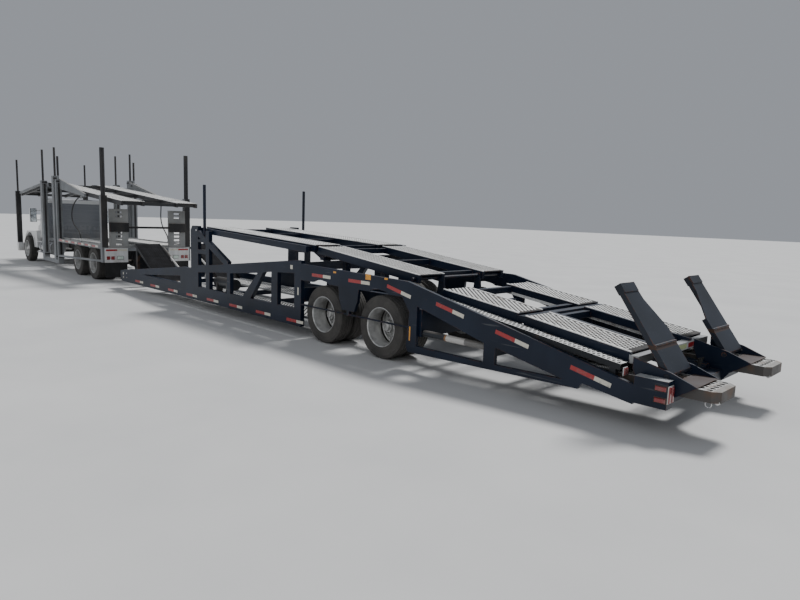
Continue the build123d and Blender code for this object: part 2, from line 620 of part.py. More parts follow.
# Hydraulic hoses hanging free between a side arm and the sill below it
for word, route in HOSE_ROUTES.items():
    with BuildPart() as hose:
        with BuildLine():
            path = FilletPolyline(*route, radius=hose_radii(route))
        with BuildSketch(Plane(origin=path @ 0, z_dir=path % 0)) as section:
            RegularPolygon(HOSE_DIAMETER / 2, 8, major_radius=False)
        sweep()
    swept = path.length * section.sketch.area
    print(f"hose {word}: length {path.length:.0f}, volume over section times length", end=" ")
    print(f"{hose.part.volume / swept:.4f}, radii {[round(radius) for radius in hose_radii(route)]}")
    finish(hose, f"hose_{word}")

# Lower deck over the drive wheels
LOWER_DECK_Z = RAIL_HIGH + 150
LOWER_SHEET = 40
LOWER_OUT = POST_IN - 20
with BuildPart() as lower_deck:
    for side, _ in SIDES:
        edges = spread(side, 400, LOWER_OUT)
        block(REAR_POST_X + 75, MID_POST_X - 40, *edges, LOWER_DECK_Z - LOWER_SHEET, LOWER_DECK_Z)
        lip = spread(side, LOWER_OUT - 25, LOWER_OUT)
        block(REAR_POST_X + 75, MID_POST_X - 40, *lip, LOWER_DECK_Z, LOWER_DECK_Z + 45)
    for x in (REAR_POST_X + 75, DRIVE_X + BOGIE / 2 - 50, DRIVE_X + BOGIE + TYRE_RADIUS + 60, MID_POST_X - 140):
        block(x, x + 100, -LOWER_OUT, LOWER_OUT, RAIL_HIGH, LOWER_DECK_Z - LOWER_SHEET)
finish(lower_deck, "lower_deck")

# Bridge ramps, stowed upright on the truck's tail, with the bar and pads that join them
BRIDGE_X = TRUCK_TAIL - 180
BRIDGE_FOOT = 990
BRIDGE_TOP = 2080
BRIDGE_IN = 590
BRIDGE_OUT = POST_IN - 20
BRIDGE_THICK = 50
BRIDGE_BAR_Z = 1565
with BuildPart() as bridge_ramps:
    for side, _ in SIDES:
        edges = spread(side, BRIDGE_IN, BRIDGE_OUT)
        block(BRIDGE_X - BRIDGE_THICK, BRIDGE_X, *edges, BRIDGE_FOOT, BRIDGE_TOP)
        middle = side * (BRIDGE_IN + BRIDGE_OUT) / 2
        holes = (
            # centre z, rows
            (1930, 2), (1250, 4),
        )
        for centre, rows in holes:
            with BuildSketch(Plane(origin=(BRIDGE_X + 1, middle, centre), x_dir=(0, 1, 0), z_dir=(1, 0, 0))) as pattern:
                with GridLocations(1, 110, 1, rows):
                    Rectangle(180, 60)
            extrude(pattern.sketch, amount=-BRIDGE_THICK - 2, mode=Mode.SUBTRACT)
    bar_face = BRIDGE_X - BRIDGE_THICK
    block(bar_face - 50, bar_face, -BRIDGE_OUT, BRIDGE_OUT, BRIDGE_BAR_Z - 30, BRIDGE_BAR_Z + 30)
    for side, _ in SIDES:
        block(bar_face - 70, bar_face, *spread(side, BRIDGE_IN, BRIDGE_OUT), BRIDGE_BAR_Z - 130, BRIDGE_BAR_Z + 130)
finish(bridge_ramps, "bridge_ramps")

# Rear lamp panels and mudflaps
PANEL_LOW = 560
with BuildPart() as tail_panels:
    for side, _ in SIDES:
        block(REAR_POST_X - 100, REAR_POST_X - 75, *spread(side, 600, 1240), PANEL_LOW, RAIL_HIGH + 90)
finish(tail_panels, "tail_panels")
with BuildPart() as mudflaps:
    for side, _ in SIDES:
        block(REAR_POST_X - 88, REAR_POST_X - 76, *spread(side, 620, 1230), 130, PANEL_LOW)
finish(mudflaps, "mudflaps")


# Trailer
def ahead(distance):
    """A station given by its distance ahead of the trailer's front axle."""
    return TRAILER_X + distance


NOSE_X = ahead(8800)
WELL_REAR = ahead(560)
FRAME_IN = SIDE - 80
LOWER_LOW = 190
LOWER_HIGH = 490
RUNWAY_IN = 460
RUNWAY_OUT = SIDE - 275
FRONT_DECK = (ahead(4470), 1770), (ahead(560), 1590)
MIDDLE_DECK = (ahead(450), 1570), (ahead(-1950), 1300)
front_deck_pin = pin_spot(*FRONT_DECK, PIN_INSET)
middle_deck_pin = pin_spot(*MIDDLE_DECK, -PIN_INSET)

with BuildPart() as forward_frames:
    with BuildSketch(Plane.XZ.offset(-SIDE)) as truss:
        outline = (
            (WELL_REAR, LOWER_LOW), (ahead(8650), LOWER_LOW), (NOSE_X, 240), (NOSE_X, 470), (ahead(5100), 860),
            (ahead(4670), 860), (ahead(4670), 1700), (ahead(4590), 1790), (ahead(4330), 1790), (ahead(4330), 960),
            (ahead(3970), 980), (ahead(700), 1330), (WELL_REAR, 1330),
        )
        Polygon(*outline, align=None)
        gaps = (
            ((ahead(7300), LOWER_HIGH - 10), (ahead(5200), LOWER_HIGH - 10), (ahead(5200), 650)),
            ((ahead(4330), LOWER_HIGH), (ahead(3990), LOWER_HIGH), (ahead(3990), 830), (ahead(4330), 800)),
            ((ahead(3830), LOWER_HIGH), (ahead(3100), LOWER_HIGH), (ahead(3100), 900), (ahead(3830), 840)),
            ((ahead(2970), LOWER_HIGH), (ahead(2500), LOWER_HIGH), (ahead(1950), 1000), (ahead(2970), 900)),
            ((ahead(2200), LOWER_HIGH), (ahead(1480), LOWER_HIGH), (ahead(1480), 1060), (ahead(1750), 1030)),
            ((ahead(1280), LOWER_HIGH), (ahead(760), LOWER_HIGH), (ahead(760), 1100), (ahead(1280), 1070)),
        )
        for gap in gaps:
            Polygon(*gap, align=None, mode=Mode.SUBTRACT)
    extrude(truss.sketch, amount=SIDE - FRAME_IN)
    rows = (
        # x, z, x, z, depth
        (ahead(3915), 950, ahead(3915), 1700, 150),
        (ahead(4330), 1640, ahead(3070), 1060, 130),
        (ahead(4330), 1250, ahead(3915), 1250, 90),
        (ahead(4330), 1480, ahead(3915), 1480, 60),
    )
    side_bars(rows, FRAME_IN, SIDE)
    middle = (FRAME_IN + SIDE) / 2
    faceted((ahead(4100), middle, 1400), (ahead(4100), middle, 2650), STAKE, 6)
    mirror(about=Plane.XZ)
    pin = front_deck_pin
    faceted((pin.X, -FRAME_IN - 5, pin.Z), (pin.X, FRAME_IN + 5, pin.Z), PIN_RADIUS, PIN_SIDES)
finish(forward_frames, "forward_frames")

# Plates above the wheels, sloping tail rails with lamp boxes on their ends, and guard rods across the wheels
TAIL_PLATE = 50
TAIL_IN = SIDE - TAIL_PLATE
TRAILER_ARCH = ARCH_RADIUS - 10
GUARD_Z = 580
GUARD_RADIUS = 12
LAMP_BOX_IN = SIDE - 139
with BuildPart() as tail_frames:
    with BuildSketch(Plane.XZ.offset(-SIDE)) as plate:
        outline = (
            (WELL_REAR, 1280), (ahead(-2000), 1230), (ahead(-5330), 490), (ahead(-5330), 280), (ahead(-4750), 375),
            (ahead(-4700), 300), (ahead(-2050), 230), (ahead(-2000), 300), (ahead(-2050), 800), (ahead(-1900), 1000),
            (ahead(-950), 1000), (ahead(-900), 640), (ahead(-500), 640), (ahead(-450), 1000), (WELL_REAR, 1000),
        )
        Polygon(*outline, align=None)
        gaps = (
            ((ahead(-2200), 340), (ahead(-3380), 340), (ahead(-3380), 590), (ahead(-2200), 900)),
            ((ahead(-3560), 345), (ahead(-4500), 370), (ahead(-3560), 560)),
        )
        for gap in gaps:
            Polygon(*gap, align=None, mode=Mode.SUBTRACT)
        with Locations((TRAILER_X, TYRE_RADIUS), (TRAILER_X - BOGIE, TYRE_RADIUS)):
            RegularPolygon(TRAILER_ARCH, 24, major_radius=False, mode=Mode.SUBTRACT)
    extrude(plate.sketch, amount=TAIL_PLATE)
    guard_y = SIDE - GUARD_RADIUS - 3
    faceted((WELL_REAR, guard_y, GUARD_Z), (ahead(-2100), guard_y, GUARD_Z), GUARD_RADIUS, 6)
    block(ahead(-730), ahead(-670), TAIL_IN, SIDE, GUARD_Z - 20, 650)
    block(ahead(-5680), ahead(-5330), LAMP_BOX_IN, SIDE, 300, 590)
    mirror(about=Plane.XZ)
finish(tail_frames, "tail_frames")

# Tail sizes shared by the frame, the flippers and the skids
FLIPPER_X = ahead(-5600)
FLIPPER_Z = 610
LUG_IN = 562
LUG_OUT = SIDE - 165
LUG_THICK = 20
SKID_LOW = 425
SKID_HIGH = 540
FOOT_PLATE = 10

# Centre frame: coupler, nose beam, spine rails, cross members, tail beams, and the middle deck's pin and rest
SPINE_IN = 420
SPINE_OUT = 530
SPINE_LOW = 620
SPINE_HIGH = 860
SLOPE_START = 2500  # where the tail rails leave the spine, behind the front axle
SLOPE_END = 5450
SLOPE_TOP = 820
SLOPE_DROP = 0.116
SLOPE_DEEP = 160
REST_HIGH = 1410  # top of the rest under the middle deck's front end
COUPLER_LOW = HITCH_TOP + PLATE_GAP
COUPLER_THICK = 90
COUPLER_RADIUS = 290


def slope_z(back):
    """Top of the tail rails at a distance behind the front axle."""
    return SLOPE_TOP - (back - SLOPE_START) * SLOPE_DROP


with BuildPart() as centre_frame:
    block(NOSE_X - 200, PIVOT_X, -COUPLER_RADIUS, COUPLER_RADIUS, COUPLER_LOW, COUPLER_LOW + COUPLER_THICK)
    faceted((PIVOT_X, 0, COUPLER_LOW), (PIVOT_X, 0, COUPLER_LOW + COUPLER_THICK), COUPLER_RADIUS, 16)
    tube((PIVOT_X, 0, HITCH_BOTTOM + 30), (PIVOT_X, 0, COUPLER_LOW + 5), KINGPIN_RADIUS)
    block(NOSE_X - 200, NOSE_X - 20, -FRAME_IN, FRAME_IN, 200, COUPLER_LOW + 40)
    for side, _ in SIDES:
        edges = spread(side, SPINE_IN, SPINE_OUT)
        block(ahead(-2600), WELL_REAR, *edges, SPINE_LOW, SPINE_HIGH)
        rail = (
            (ahead(-SLOPE_START), SLOPE_TOP), (ahead(-SLOPE_END), slope_z(SLOPE_END)),
            (ahead(-SLOPE_END), slope_z(SLOPE_END) - SLOPE_DEEP), (ahead(-SLOPE_START), SLOPE_TOP - SLOPE_DEEP),
        )
        side_plate(rail, *edges)
    members = (
        # distance ahead of the front axle, z low, z high, half length
        (7300, 200, 300, FRAME_IN), (5900, 200, 300, FRAME_IN), (4450, 200, 300, FRAME_IN), (2950, 200, 300, FRAME_IN),
        (560, 640, 860, FRAME_IN), (-2250, 470, 860, TAIL_IN), (-3480, 420, 570, TAIL_IN),
    )
    for distance, low, high, half in members:
        block(ahead(distance), ahead(distance + 100), -half, half, low, high)
    block(ahead(-5600), ahead(-5400), -LAMP_BOX_IN, LAMP_BOX_IN, 290, SKID_LOW - GAP)
    for side, _ in SIDES:
        for near, far in ((LUG_IN - LUG_THICK, LUG_IN), (LUG_OUT, LUG_OUT + LUG_THICK)):
            lug = (
                (ahead(-5400), 290), (ahead(-5240), 620), (ahead(-5240), 745), (ahead(-5640), FLIPPER_Z + 45),
                (ahead(-5900), SKID_HIGH + GAP + FOOT_PLATE), (ahead(-5900), SKID_HIGH + GAP),
                (ahead(-5680), 400), (ahead(-5600), 290),
            )
            side_plate(lug, *spread(side, near, far))
        foot = SKID_HIGH + GAP
        block(ahead(-5900), ahead(-5660), *spread(side, LUG_IN, LUG_OUT), foot, foot + FOOT_PLATE)
        shaft = (FLIPPER_X, side * (LUG_IN - 30), FLIPPER_Z), (FLIPPER_X, side * (LUG_OUT + 30), FLIPPER_Z)
        faceted(*shaft, PIN_RADIUS + PIN_PLAY, PIN_SIDES, Mode.SUBTRACT)
    pin = middle_deck_pin
    faceted((pin.X, -RUNWAY_OUT - 60, pin.Z), (pin.X, RUNWAY_OUT + 60, pin.Z), PIN_RADIUS, PIN_SIDES)
    for side, _ in SIDES:
        bearer = (
            (pin.X - 90, SPINE_HIGH), (pin.X + 90, SPINE_HIGH), (pin.X + 40, pin.Z + 35), (pin.X - 40, pin.Z + 35),
        )
        side_plate(bearer, *spread(side, SPINE_IN, RUNWAY_IN - GAP))
        block(ahead(300), ahead(400), *spread(side, SPINE_IN, SPINE_OUT), SPINE_HIGH, REST_HIGH - 60)
    block(ahead(300), ahead(400), -RUNWAY_OUT, RUNWAY_OUT, REST_HIGH - 60, REST_HIGH)
finish(centre_frame, "centre_frame")

# Well floor and neck ramps
NECK_FOOT = ahead(6740)
NECK_TOP = ahead(8250)
NECK_TOP_Z = 1195
WELL_LOW = 300
WELL_SHEET = 40
with BuildPart() as well_floor:
    for side, _ in SIDES:
        low, high = spread(side, RUNWAY_IN, SIDE - 195)
        block(WELL_REAR, NECK_FOOT, low, high, WELL_LOW, WELL_LOW + WELL_SHEET)
        ramp = (
            (NECK_FOOT, WELL_LOW), (NECK_FOOT, WELL_LOW + WELL_SHEET),
            (NECK_TOP, NECK_TOP_Z), (NECK_TOP, NECK_TOP_Z - WELL_SHEET),
        )
        side_plate(ramp, low, high)
        block(ahead(8130), ahead(8210), low, high, COUPLER_LOW + 40, 1120)
        for edge in (low + 30, high - 30):
            beam = (
                (NECK_FOOT, WELL_LOW), (NECK_TOP, NECK_TOP_Z - WELL_SHEET),
                (NECK_TOP, NECK_TOP_Z - 100), (NECK_FOOT + 110, WELL_LOW),
            )
            side_plate(beam, edge - 25, edge + 25)
finish(well_floor, "well_floor")

# Trailer axles on their hangers
with BuildPart() as trailer_axles:
    for axle_x in (TRAILER_X, TRAILER_X - BOGIE):
        bar((axle_x, -AXLE_END, TYRE_RADIUS), (axle_x, AXLE_END, TYRE_RADIUS), 130, 130)
        for side, _ in SIDES:
            block(axle_x - PERCH_X, axle_x + PERCH_X, *spread(side, SPINE_IN, SPINE_OUT), PERCH_LOW, SPINE_LOW)
finish(trailer_axles, "trailer_axles")

# Rear deck: two fixed lengths on uprights, with the pale beam across its end
REAR_DECKS = (
    # front x, front z, rear x, rear z, shares of its run with a cross beam
    (-2420, 1150, -3680, 985, (0.06, 0.9)),
    (-3780, 965, -5150, 760, (0.06, 0.92)),
)
with BuildPart() as rear_deck:
    for front_x, front_z, rear_x, rear_z, shares in REAR_DECKS:
        deck((ahead(front_x), front_z), (ahead(rear_x), rear_z), RUNWAY_IN, RUNWAY_OUT, RUNWAY_OUT, shares)
    block(ahead(-3790), ahead(-3670), -RUNWAY_OUT, RUNWAY_OUT, 870, 960)
    block(ahead(-5240), ahead(-5140), -RUNWAY_OUT, RUNWAY_OUT, 640, 730)
    for side, _ in SIDES:
        for back, high in ((2740, 1000), (3900, 860), (5000, 680)):
            foot = [(ahead(-x), slope_z(x)) for x in (back, back - 120)]
            head = [(ahead(-back + 120), high), (ahead(-back), high)]
            side_plate(foot + head, *spread(side, RUNWAY_IN, RUNWAY_IN + BEAM_WIDE))
        rail = (
            (ahead(-3790), 975), (ahead(-5240), 765), (ahead(-5240), 660), (ahead(-3790), 870),
        )
        side_plate(rail, *spread(side, RUNWAY_IN - 55, RUNWAY_IN))
finish(rear_deck, "rear_deck")

# Catwalks beside the rear deck, on brackets from the tail rails
CATWALK_IN = SIDE - 235
CATWALK_FRONT = (ahead(-2500), 1045)
CATWALK_REAR = (ahead(-5150), 655)
CONDUIT_RADIUS = 26
CONDUIT_Y = TAIL_IN - CONDUIT_RADIUS - 12
with BuildPart() as catwalks:
    for side, _ in SIDES:
        middle = side * (CATWALK_IN + TAIL_IN) / 2
        start = (CATWALK_FRONT[0], middle, CATWALK_FRONT[1])
        end = (CATWALK_REAR[0], middle, CATWALK_REAR[1])
        bar(start, end, TAIL_IN - CATWALK_IN, 16)
        for edge in (CATWALK_IN + 8, TAIL_IN - 8):
            bar((start[0], side * edge, start[2] - 30), (end[0], side * edge, end[2] - 30), 16, 60)
        for x, low, high in ((-3450, 820, 880), (-4300, 620, 760), (-5100, 440, 640)):
            block(ahead(x), ahead(x + 60), *spread(side, TAIL_IN - 70, TAIL_IN), low, high)
    conduit = (
        # x, z of each clip, from the front
        (ahead(-4260), 735), (ahead(-4400), 640), (ahead(-4600), 585), (ahead(-4850), 570), (ahead(-5040), 580),
    )
    for near, far in zip(conduit, conduit[1:]):
        faceted((near[0], CONDUIT_Y, near[1]), (far[0], CONDUIT_Y, far[1]), CONDUIT_RADIUS, 8)
    for x, z in conduit:
        block(x - 12, x + 12, CONDUIT_Y - 30, TAIL_IN, z - 30, z + 30)
finish(catwalks, "catwalks")

# Front and middle decks of the trailer, each swinging on a pin
FRONT_RAIL_OUT = FRAME_IN - 2 * GAP
with BuildPart() as front_deck:
    deck(*FRONT_DECK, RUNWAY_IN, RUNWAY_OUT, FRONT_RAIL_OUT, (0.06, 0.35, 0.65, 0.97), PIN_INSET)
finish(front_deck, "front_deck")
with BuildPart() as middle_deck:
    deck(*MIDDLE_DECK, RUNWAY_IN, RUNWAY_OUT, RUNWAY_OUT, (0.04, 0.5, 0.9), -PIN_INSET)
finish(middle_deck, "middle_deck")

# Cylinders beside the ramps and in the tail, and the air tank on its saddles in the left frame
AIR_TANK_RADIUS = 110
AIR_TANK_Y = FRAME_IN - 15 - AIR_TANK_RADIUS
AIR_TANK_Z = 640
TAIL_CYLINDER_Y = TAIL_IN - 65
NECK_CYLINDER_Y = RUNWAY_IN - 60
NECK_EYE = Vector(ahead(8170), 0, 1080)
NECK_HEEL = Vector(ahead(7200), 0, 620)
with BuildPart() as trailer_cylinders:
    for side, _ in SIDES:
        y = side * TAIL_CYLINDER_Y
        faceted((ahead(-2250), y, 520), (ahead(-3380), y, 520), 45, 10)
        across = Vector(0, side * NECK_CYLINDER_Y, 0)
        gland = (NECK_EYE + NECK_HEEL) / 2 + across
        faceted(tuple(NECK_EYE + across), tuple(gland), 42, 10)
        faceted(tuple(gland), tuple(NECK_HEEL + across), 24, 8)
        eye = spread(side, NECK_CYLINDER_Y - 30, RUNWAY_IN)
        block(NECK_EYE.X - 40, NECK_EYE.X + 40, *eye, NECK_EYE.Z - 30, NECK_EYE.Z + 30)
        heel = (
            (ahead(7300), 300), (ahead(7400), 300), (NECK_HEEL.X + 40, NECK_HEEL.Z + 35),
            (NECK_HEEL.X - 40, NECK_HEEL.Z + 35),
        )
        side_plate(heel, *spread(side, NECK_CYLINDER_Y - 15, NECK_CYLINDER_Y + 15))
    tank = (ahead(3100), AIR_TANK_Y, AIR_TANK_Z), (ahead(3830), AIR_TANK_Y, AIR_TANK_Z)
    faceted(*tank, AIR_TANK_RADIUS, 14)
    for x in (ahead(3240), ahead(3640)):
        block(x, x + 50, AIR_TANK_Y, FRAME_IN, LOWER_HIGH - 60, AIR_TANK_Z)
finish(trailer_cylinders, "trailer_cylinders")

# Flippers: tapered plates standing on the tail, leaning forward, closed behind and ribbed in front
FLIPPER_LEAN = (620, 870)
FLIPPER_PLATE = 14
FLIPPER_RIM = 60
FLIPPER_BASE = LUG_OUT - LUG_IN - 20
FLIPPER_HEAD = 330
HEAD_LONG = 110
FLIPPER_FOLD = 0.3  # where the plate's hinge lies, as a share of its length
FOLD_RADIUS = 14
for side, word in SIDES:
    with BuildPart() as flipper:
        length = hypot(*FLIPPER_LEAN)
        up = Vector(FLIPPER_LEAN[0] / length, 0, FLIPPER_LEAN[1] / length)
        outer = side * (LUG_OUT - 10)
        foot = Vector(FLIPPER_X, outer, FLIPPER_Z)
        plane = Plane(origin=tuple(foot), x_dir=(0, -side, 0), z_dir=tuple(up.cross(Vector(0, side, 0)) * -1))
        flip = 1 if plane.y_dir.Z > 0 else -1
        outline = (
            (0, 0), (FLIPPER_BASE, 0), (FLIPPER_BASE, flip * length * 0.45),
            (FLIPPER_HEAD + 20, flip * length * 0.8), (FLIPPER_HEAD, flip * length), (0, flip * length),
        )
        back = plane.offset(-side * (FLIPPER_RIM - FLIPPER_PLATE) / 2)
        with BuildSketch(back) as face:
            Polygon(*outline, align=None)
        extrude(face.sketch, amount=FLIPPER_PLATE / 2, both=True)
        fold = foot + up * (length * FLIPPER_FOLD) - plane.z_dir * (side * FLIPPER_RIM / 2)
        faceted(tuple(fold), tuple(fold - Vector(0, side * FLIPPER_BASE, 0)), FOLD_RADIUS, 6)
        with BuildSketch(plane) as rims:
            for spot, reach in ((12, 1.0), (FLIPPER_HEAD - 12, 1.0), (FLIPPER_BASE - 12, 0.45)):
                with Locations((spot, flip * length * reach / 2)):
                    Rectangle(24, length * reach)
            with Locations((165, flip * length / 2)):
                Rectangle(16, length * 0.94)
        extrude(rims.sketch, amount=FLIPPER_RIM / 2, both=True)
        with BuildSketch(plane) as head:
            with Locations((FLIPPER_HEAD / 2, flip * (length - HEAD_LONG / 2))):
                Rectangle(FLIPPER_HEAD, HEAD_LONG)
        extrude(head.sketch, amount=FLIPPER_RIM / 2 + 10, both=True)
        shaft = (FLIPPER_X, side * (LUG_IN - LUG_THICK), FLIPPER_Z), (FLIPPER_X, side * (LUG_OUT + LUG_THICK), FLIPPER_Z)
        faceted(*shaft, PIN_RADIUS, PIN_SIDES)
    finish(flipper, f"flipper_{word}")

# Slide-out skids: open trays with round corners and a roller across the end
SKID_REAR = ahead(-6100)
SKID_FRONT = ahead(-4300)
SKID_IN = LUG_IN + 13
SKID_OUT = LUG_OUT - 15
SKID_WALL = 14
SKID_CORNER = 70
for side, word in SIDES:
    with BuildPart() as skid:
        low, high = spread(side, SKID_IN, SKID_OUT)
        with BuildSketch(Plane.XY.offset(SKID_LOW)) as plan:
            with Locations(((SKID_REAR + SKID_FRONT) / 2, (low + high) / 2)):
                Rectangle(SKID_FRONT - SKID_REAR, high - low)
            chamfer(plan.vertices().group_by(Axis.X)[0], SKID_CORNER)
        extrude(plan.sketch, amount=SKID_HIGH - SKID_LOW)
        inside = low + SKID_WALL, high - SKID_WALL, SKID_LOW - 1, SKID_HIGH - SKID_WALL
        block(SKID_REAR + SKID_CORNER + 20, SKID_FRONT + 1, *inside, Mode.SUBTRACT)
    finish(skid, f"skid_{word}")
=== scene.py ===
import itertools
import json
import math

import bmesh
import bpy
from mathutils import Matrix, Vector


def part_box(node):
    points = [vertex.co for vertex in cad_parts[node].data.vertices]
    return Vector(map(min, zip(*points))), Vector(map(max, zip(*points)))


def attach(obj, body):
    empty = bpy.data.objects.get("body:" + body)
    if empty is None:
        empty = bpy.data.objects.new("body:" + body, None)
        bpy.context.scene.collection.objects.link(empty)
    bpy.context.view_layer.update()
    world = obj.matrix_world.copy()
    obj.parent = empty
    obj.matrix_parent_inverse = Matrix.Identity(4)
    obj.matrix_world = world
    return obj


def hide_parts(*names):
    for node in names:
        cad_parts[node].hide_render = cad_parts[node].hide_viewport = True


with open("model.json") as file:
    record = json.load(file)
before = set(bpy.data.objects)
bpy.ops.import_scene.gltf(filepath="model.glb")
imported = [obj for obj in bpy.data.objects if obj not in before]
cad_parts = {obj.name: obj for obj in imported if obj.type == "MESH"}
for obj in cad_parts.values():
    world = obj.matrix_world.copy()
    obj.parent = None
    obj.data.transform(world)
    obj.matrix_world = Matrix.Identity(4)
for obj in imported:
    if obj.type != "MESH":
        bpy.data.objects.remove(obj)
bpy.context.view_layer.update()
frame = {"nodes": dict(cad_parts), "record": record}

# Yard floor: a plain pale surface under soft overhead light, seen from behind the rig's left corner.
# The camera stands at the photo's viewpoint, a little over two metres up.
FLOOR_HALF = 140
CAMERA_PLACE = Vector((-14.722, 7.334, 2.11))
CAMERA_YAW = math.radians(-44.64)
CAMERA_DOWN = math.radians(7.68)
CAMERA_ROLL = math.radians(-2.04)
CAMERA_LENS = 27.39


def surface(name, roughness=0.5, metallic=0.0, coat=0.0):
    """A new finish: its material, its shader and the place on the piece in metres."""
    material = bpy.data.materials.new(name)
    material.use_nodes = True
    shader = material.node_tree.nodes["Principled BSDF"]
    shader.inputs["Roughness"].default_value = roughness
    shader.inputs["Metallic"].default_value = metallic
    shader.inputs["Coat Weight"].default_value = coat
    return material, shader, material.node_tree.nodes.new("ShaderNodeTexCoord").outputs["Object"]


def feed(socket, value):
    """Gives a socket a link, a colour or a number."""
    if hasattr(value, "links"):
        socket.id_data.links.new(value, socket)
    elif isinstance(value, tuple):
        socket.default_value = (*value, 1.0)
    else:
        socket.default_value = value


def node_beside(socket, kind):
    """A new node in the finish that has this socket."""
    return socket.id_data.nodes.new(kind)


def grain(place, cells, detail=4.0, stretch=(1, 1, 1)):
    """Cloudy variation from 0 to 1, so many cells to a metre, drawn out where stretch is small."""
    spread = node_beside(place, "ShaderNodeMapping")
    spread.inputs["Scale"].default_value = [cells * share for share in stretch]
    cloud = node_beside(place, "ShaderNodeTexNoise")
    cloud.inputs["Scale"].default_value = 1.0
    cloud.inputs["Detail"].default_value = detail
    feed(spread.inputs["Vector"], place)
    feed(cloud.inputs["Vector"], spread.outputs["Vector"])
    return cloud.outputs["Fac"]


def between(value, low, high, to_low=0.0, to_high=1.0):
    """The value stretched from low..high to to_low..to_high, and held there."""
    node = node_beside(value, "ShaderNodeMapRange")
    for name, number in (("From Min", low), ("From Max", high), ("To Min", to_low), ("To Max", to_high)):
        node.inputs[name].default_value = number
    feed(node.inputs["Value"], value)
    return node.outputs["Result"]


def blend(share, below, above):
    """One colour over another."""
    node = node_beside(share, "ShaderNodeMix")
    node.data_type = "RGBA"
    feed(node.inputs[0], share)
    feed(node.inputs[6], below)
    feed(node.inputs[7], above)
    return node.outputs[2]


def cloudy(place, cells, dark, light, low=0.3, high=0.7, detail=4.0, stretch=(1, 1, 1)):
    """A colour that wanders between two tones, in clouds of so many cells to a metre."""
    return blend(between(grain(place, cells, detail, stretch), low, high), dark, light)


concrete, shader, place = surface("pale_floor", roughness=0.85)
feed(shader.inputs["Base Color"], cloudy(place, 0.6, (0.56, 0.56, 0.555), (0.62, 0.62, 0.61)))
floor_mesh = bpy.data.meshes.new("floor")
corners = [(x * FLOOR_HALF, y * FLOOR_HALF, 0) for x, y in ((-1, -1), (1, -1), (1, 1), (-1, 1))]
floor_mesh.from_pydata(corners, [], [(0, 1, 2, 3)])
floor_mesh.materials.append(concrete)
floor = bpy.data.objects.new("floor", floor_mesh)
bpy.context.scene.collection.objects.link(floor)

sky = bpy.data.worlds.new("soft_sky")
sky.use_nodes = True
sky.node_tree.nodes["Background"].inputs["Color"].default_value = (0.86, 0.91, 1.0, 1.0)
sky.node_tree.nodes["Background"].inputs["Strength"].default_value = 0.36
bpy.context.scene.world = sky
for name, turn, power, softness in (("key", (34, -16, 30), 3.4, 14), ("fill", (58, 24, 190), 0.5, 60)):
    lamp = bpy.data.lights.new(name, "SUN")
    lamp.energy = power
    lamp.angle = math.radians(softness)
    holder = bpy.data.objects.new(name, lamp)
    holder.rotation_euler = [math.radians(angle) for angle in turn]
    bpy.context.scene.collection.objects.link(holder)

view = bpy.data.cameras.new("camera")
view.lens = CAMERA_LENS
view.sensor_width = 36
view.clip_end = 400
camera = bpy.data.objects.new("camera", view)
level_ahead = Vector((math.cos(CAMERA_YAW), math.sin(CAMERA_YAW), 0))
ahead = level_ahead * math.cos(CAMERA_DOWN) - Vector((0, 0, math.sin(CAMERA_DOWN)))
level_right = Vector((math.sin(CAMERA_YAW), -math.cos(CAMERA_YAW), 0))
level_down = ahead.cross(level_right)
right = level_right * math.cos(CAMERA_ROLL) + level_down * math.sin(CAMERA_ROLL)
down = level_down * math.cos(CAMERA_ROLL) - level_right * math.sin(CAMERA_ROLL)
camera.matrix_world = Matrix.Translation(CAMERA_PLACE) @ Matrix((right, -down, -ahead)).transposed().to_4x4()
bpy.context.scene.collection.objects.link(camera)
bpy.context.scene.camera = camera

# Truck chassis: pressed steel rails and cross members, with cast axles, springs and knuckles under them.
# All of it is dark chassis paint under road dust, brown where stones have chipped it.


def eased(node, width=0.004, sides=2):
    """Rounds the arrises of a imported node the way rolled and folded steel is."""
    thing = frame["nodes"][node]
    weld = thing.modifiers.new("joined", "WELD")
    weld.merge_threshold = 0.0002
    bevel = thing.modifiers.new("arris", "BEVEL")
    bevel.width = width
    bevel.segments = sides
    bevel.limit_method = "ANGLE"
    bevel.angle_limit = math.radians(35)
    flat = thing.modifiers.new("flat_faces", "WEIGHTED_NORMAL")
    flat.weight = 100
    return thing


def dress(nodes, material, width=0.004, sides=2):
    """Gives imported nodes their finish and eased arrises."""
    for node in nodes:
        thing = eased(node, width, sides)
        thing.data.materials.clear()
        thing.data.materials.append(material)


def calc(operation, first, second):
    """A sum, product or other operation on two values."""
    node = node_beside(first, "ShaderNodeMath")
    node.operation = operation
    node.use_clamp = True
    feed(node.inputs[0], first)
    feed(node.inputs[1], second)
    return node.outputs[0]


def times(first, second):
    """One share of another."""
    return calc("MULTIPLY", first, second)


def relief(shader, height, strength, distance=0.002):
    """Small unevenness of a surface."""
    bump = node_beside(height, "ShaderNodeBump")
    bump.inputs["Strength"].default_value = strength
    bump.inputs["Distance"].default_value = distance
    feed(bump.inputs["Height"], height)
    feed(shader.inputs["Normal"], bump.outputs["Normal"])


def part_of(vector, axis):
    """One part of a place, a direction or a colour."""
    parts = node_beside(vector, "ShaderNodeSeparateXYZ")
    feed(parts.inputs["Vector"], vector)
    return parts.outputs[axis]


def facing_up(place, low=0.35, high=0.95):
    """How much a face looks up: where dust settles, and where zinc is spared its painted shade."""
    normal = node_beside(place, "ShaderNodeNewGeometry").outputs["Normal"]
    return between(part_of(normal, "Z"), low, high)


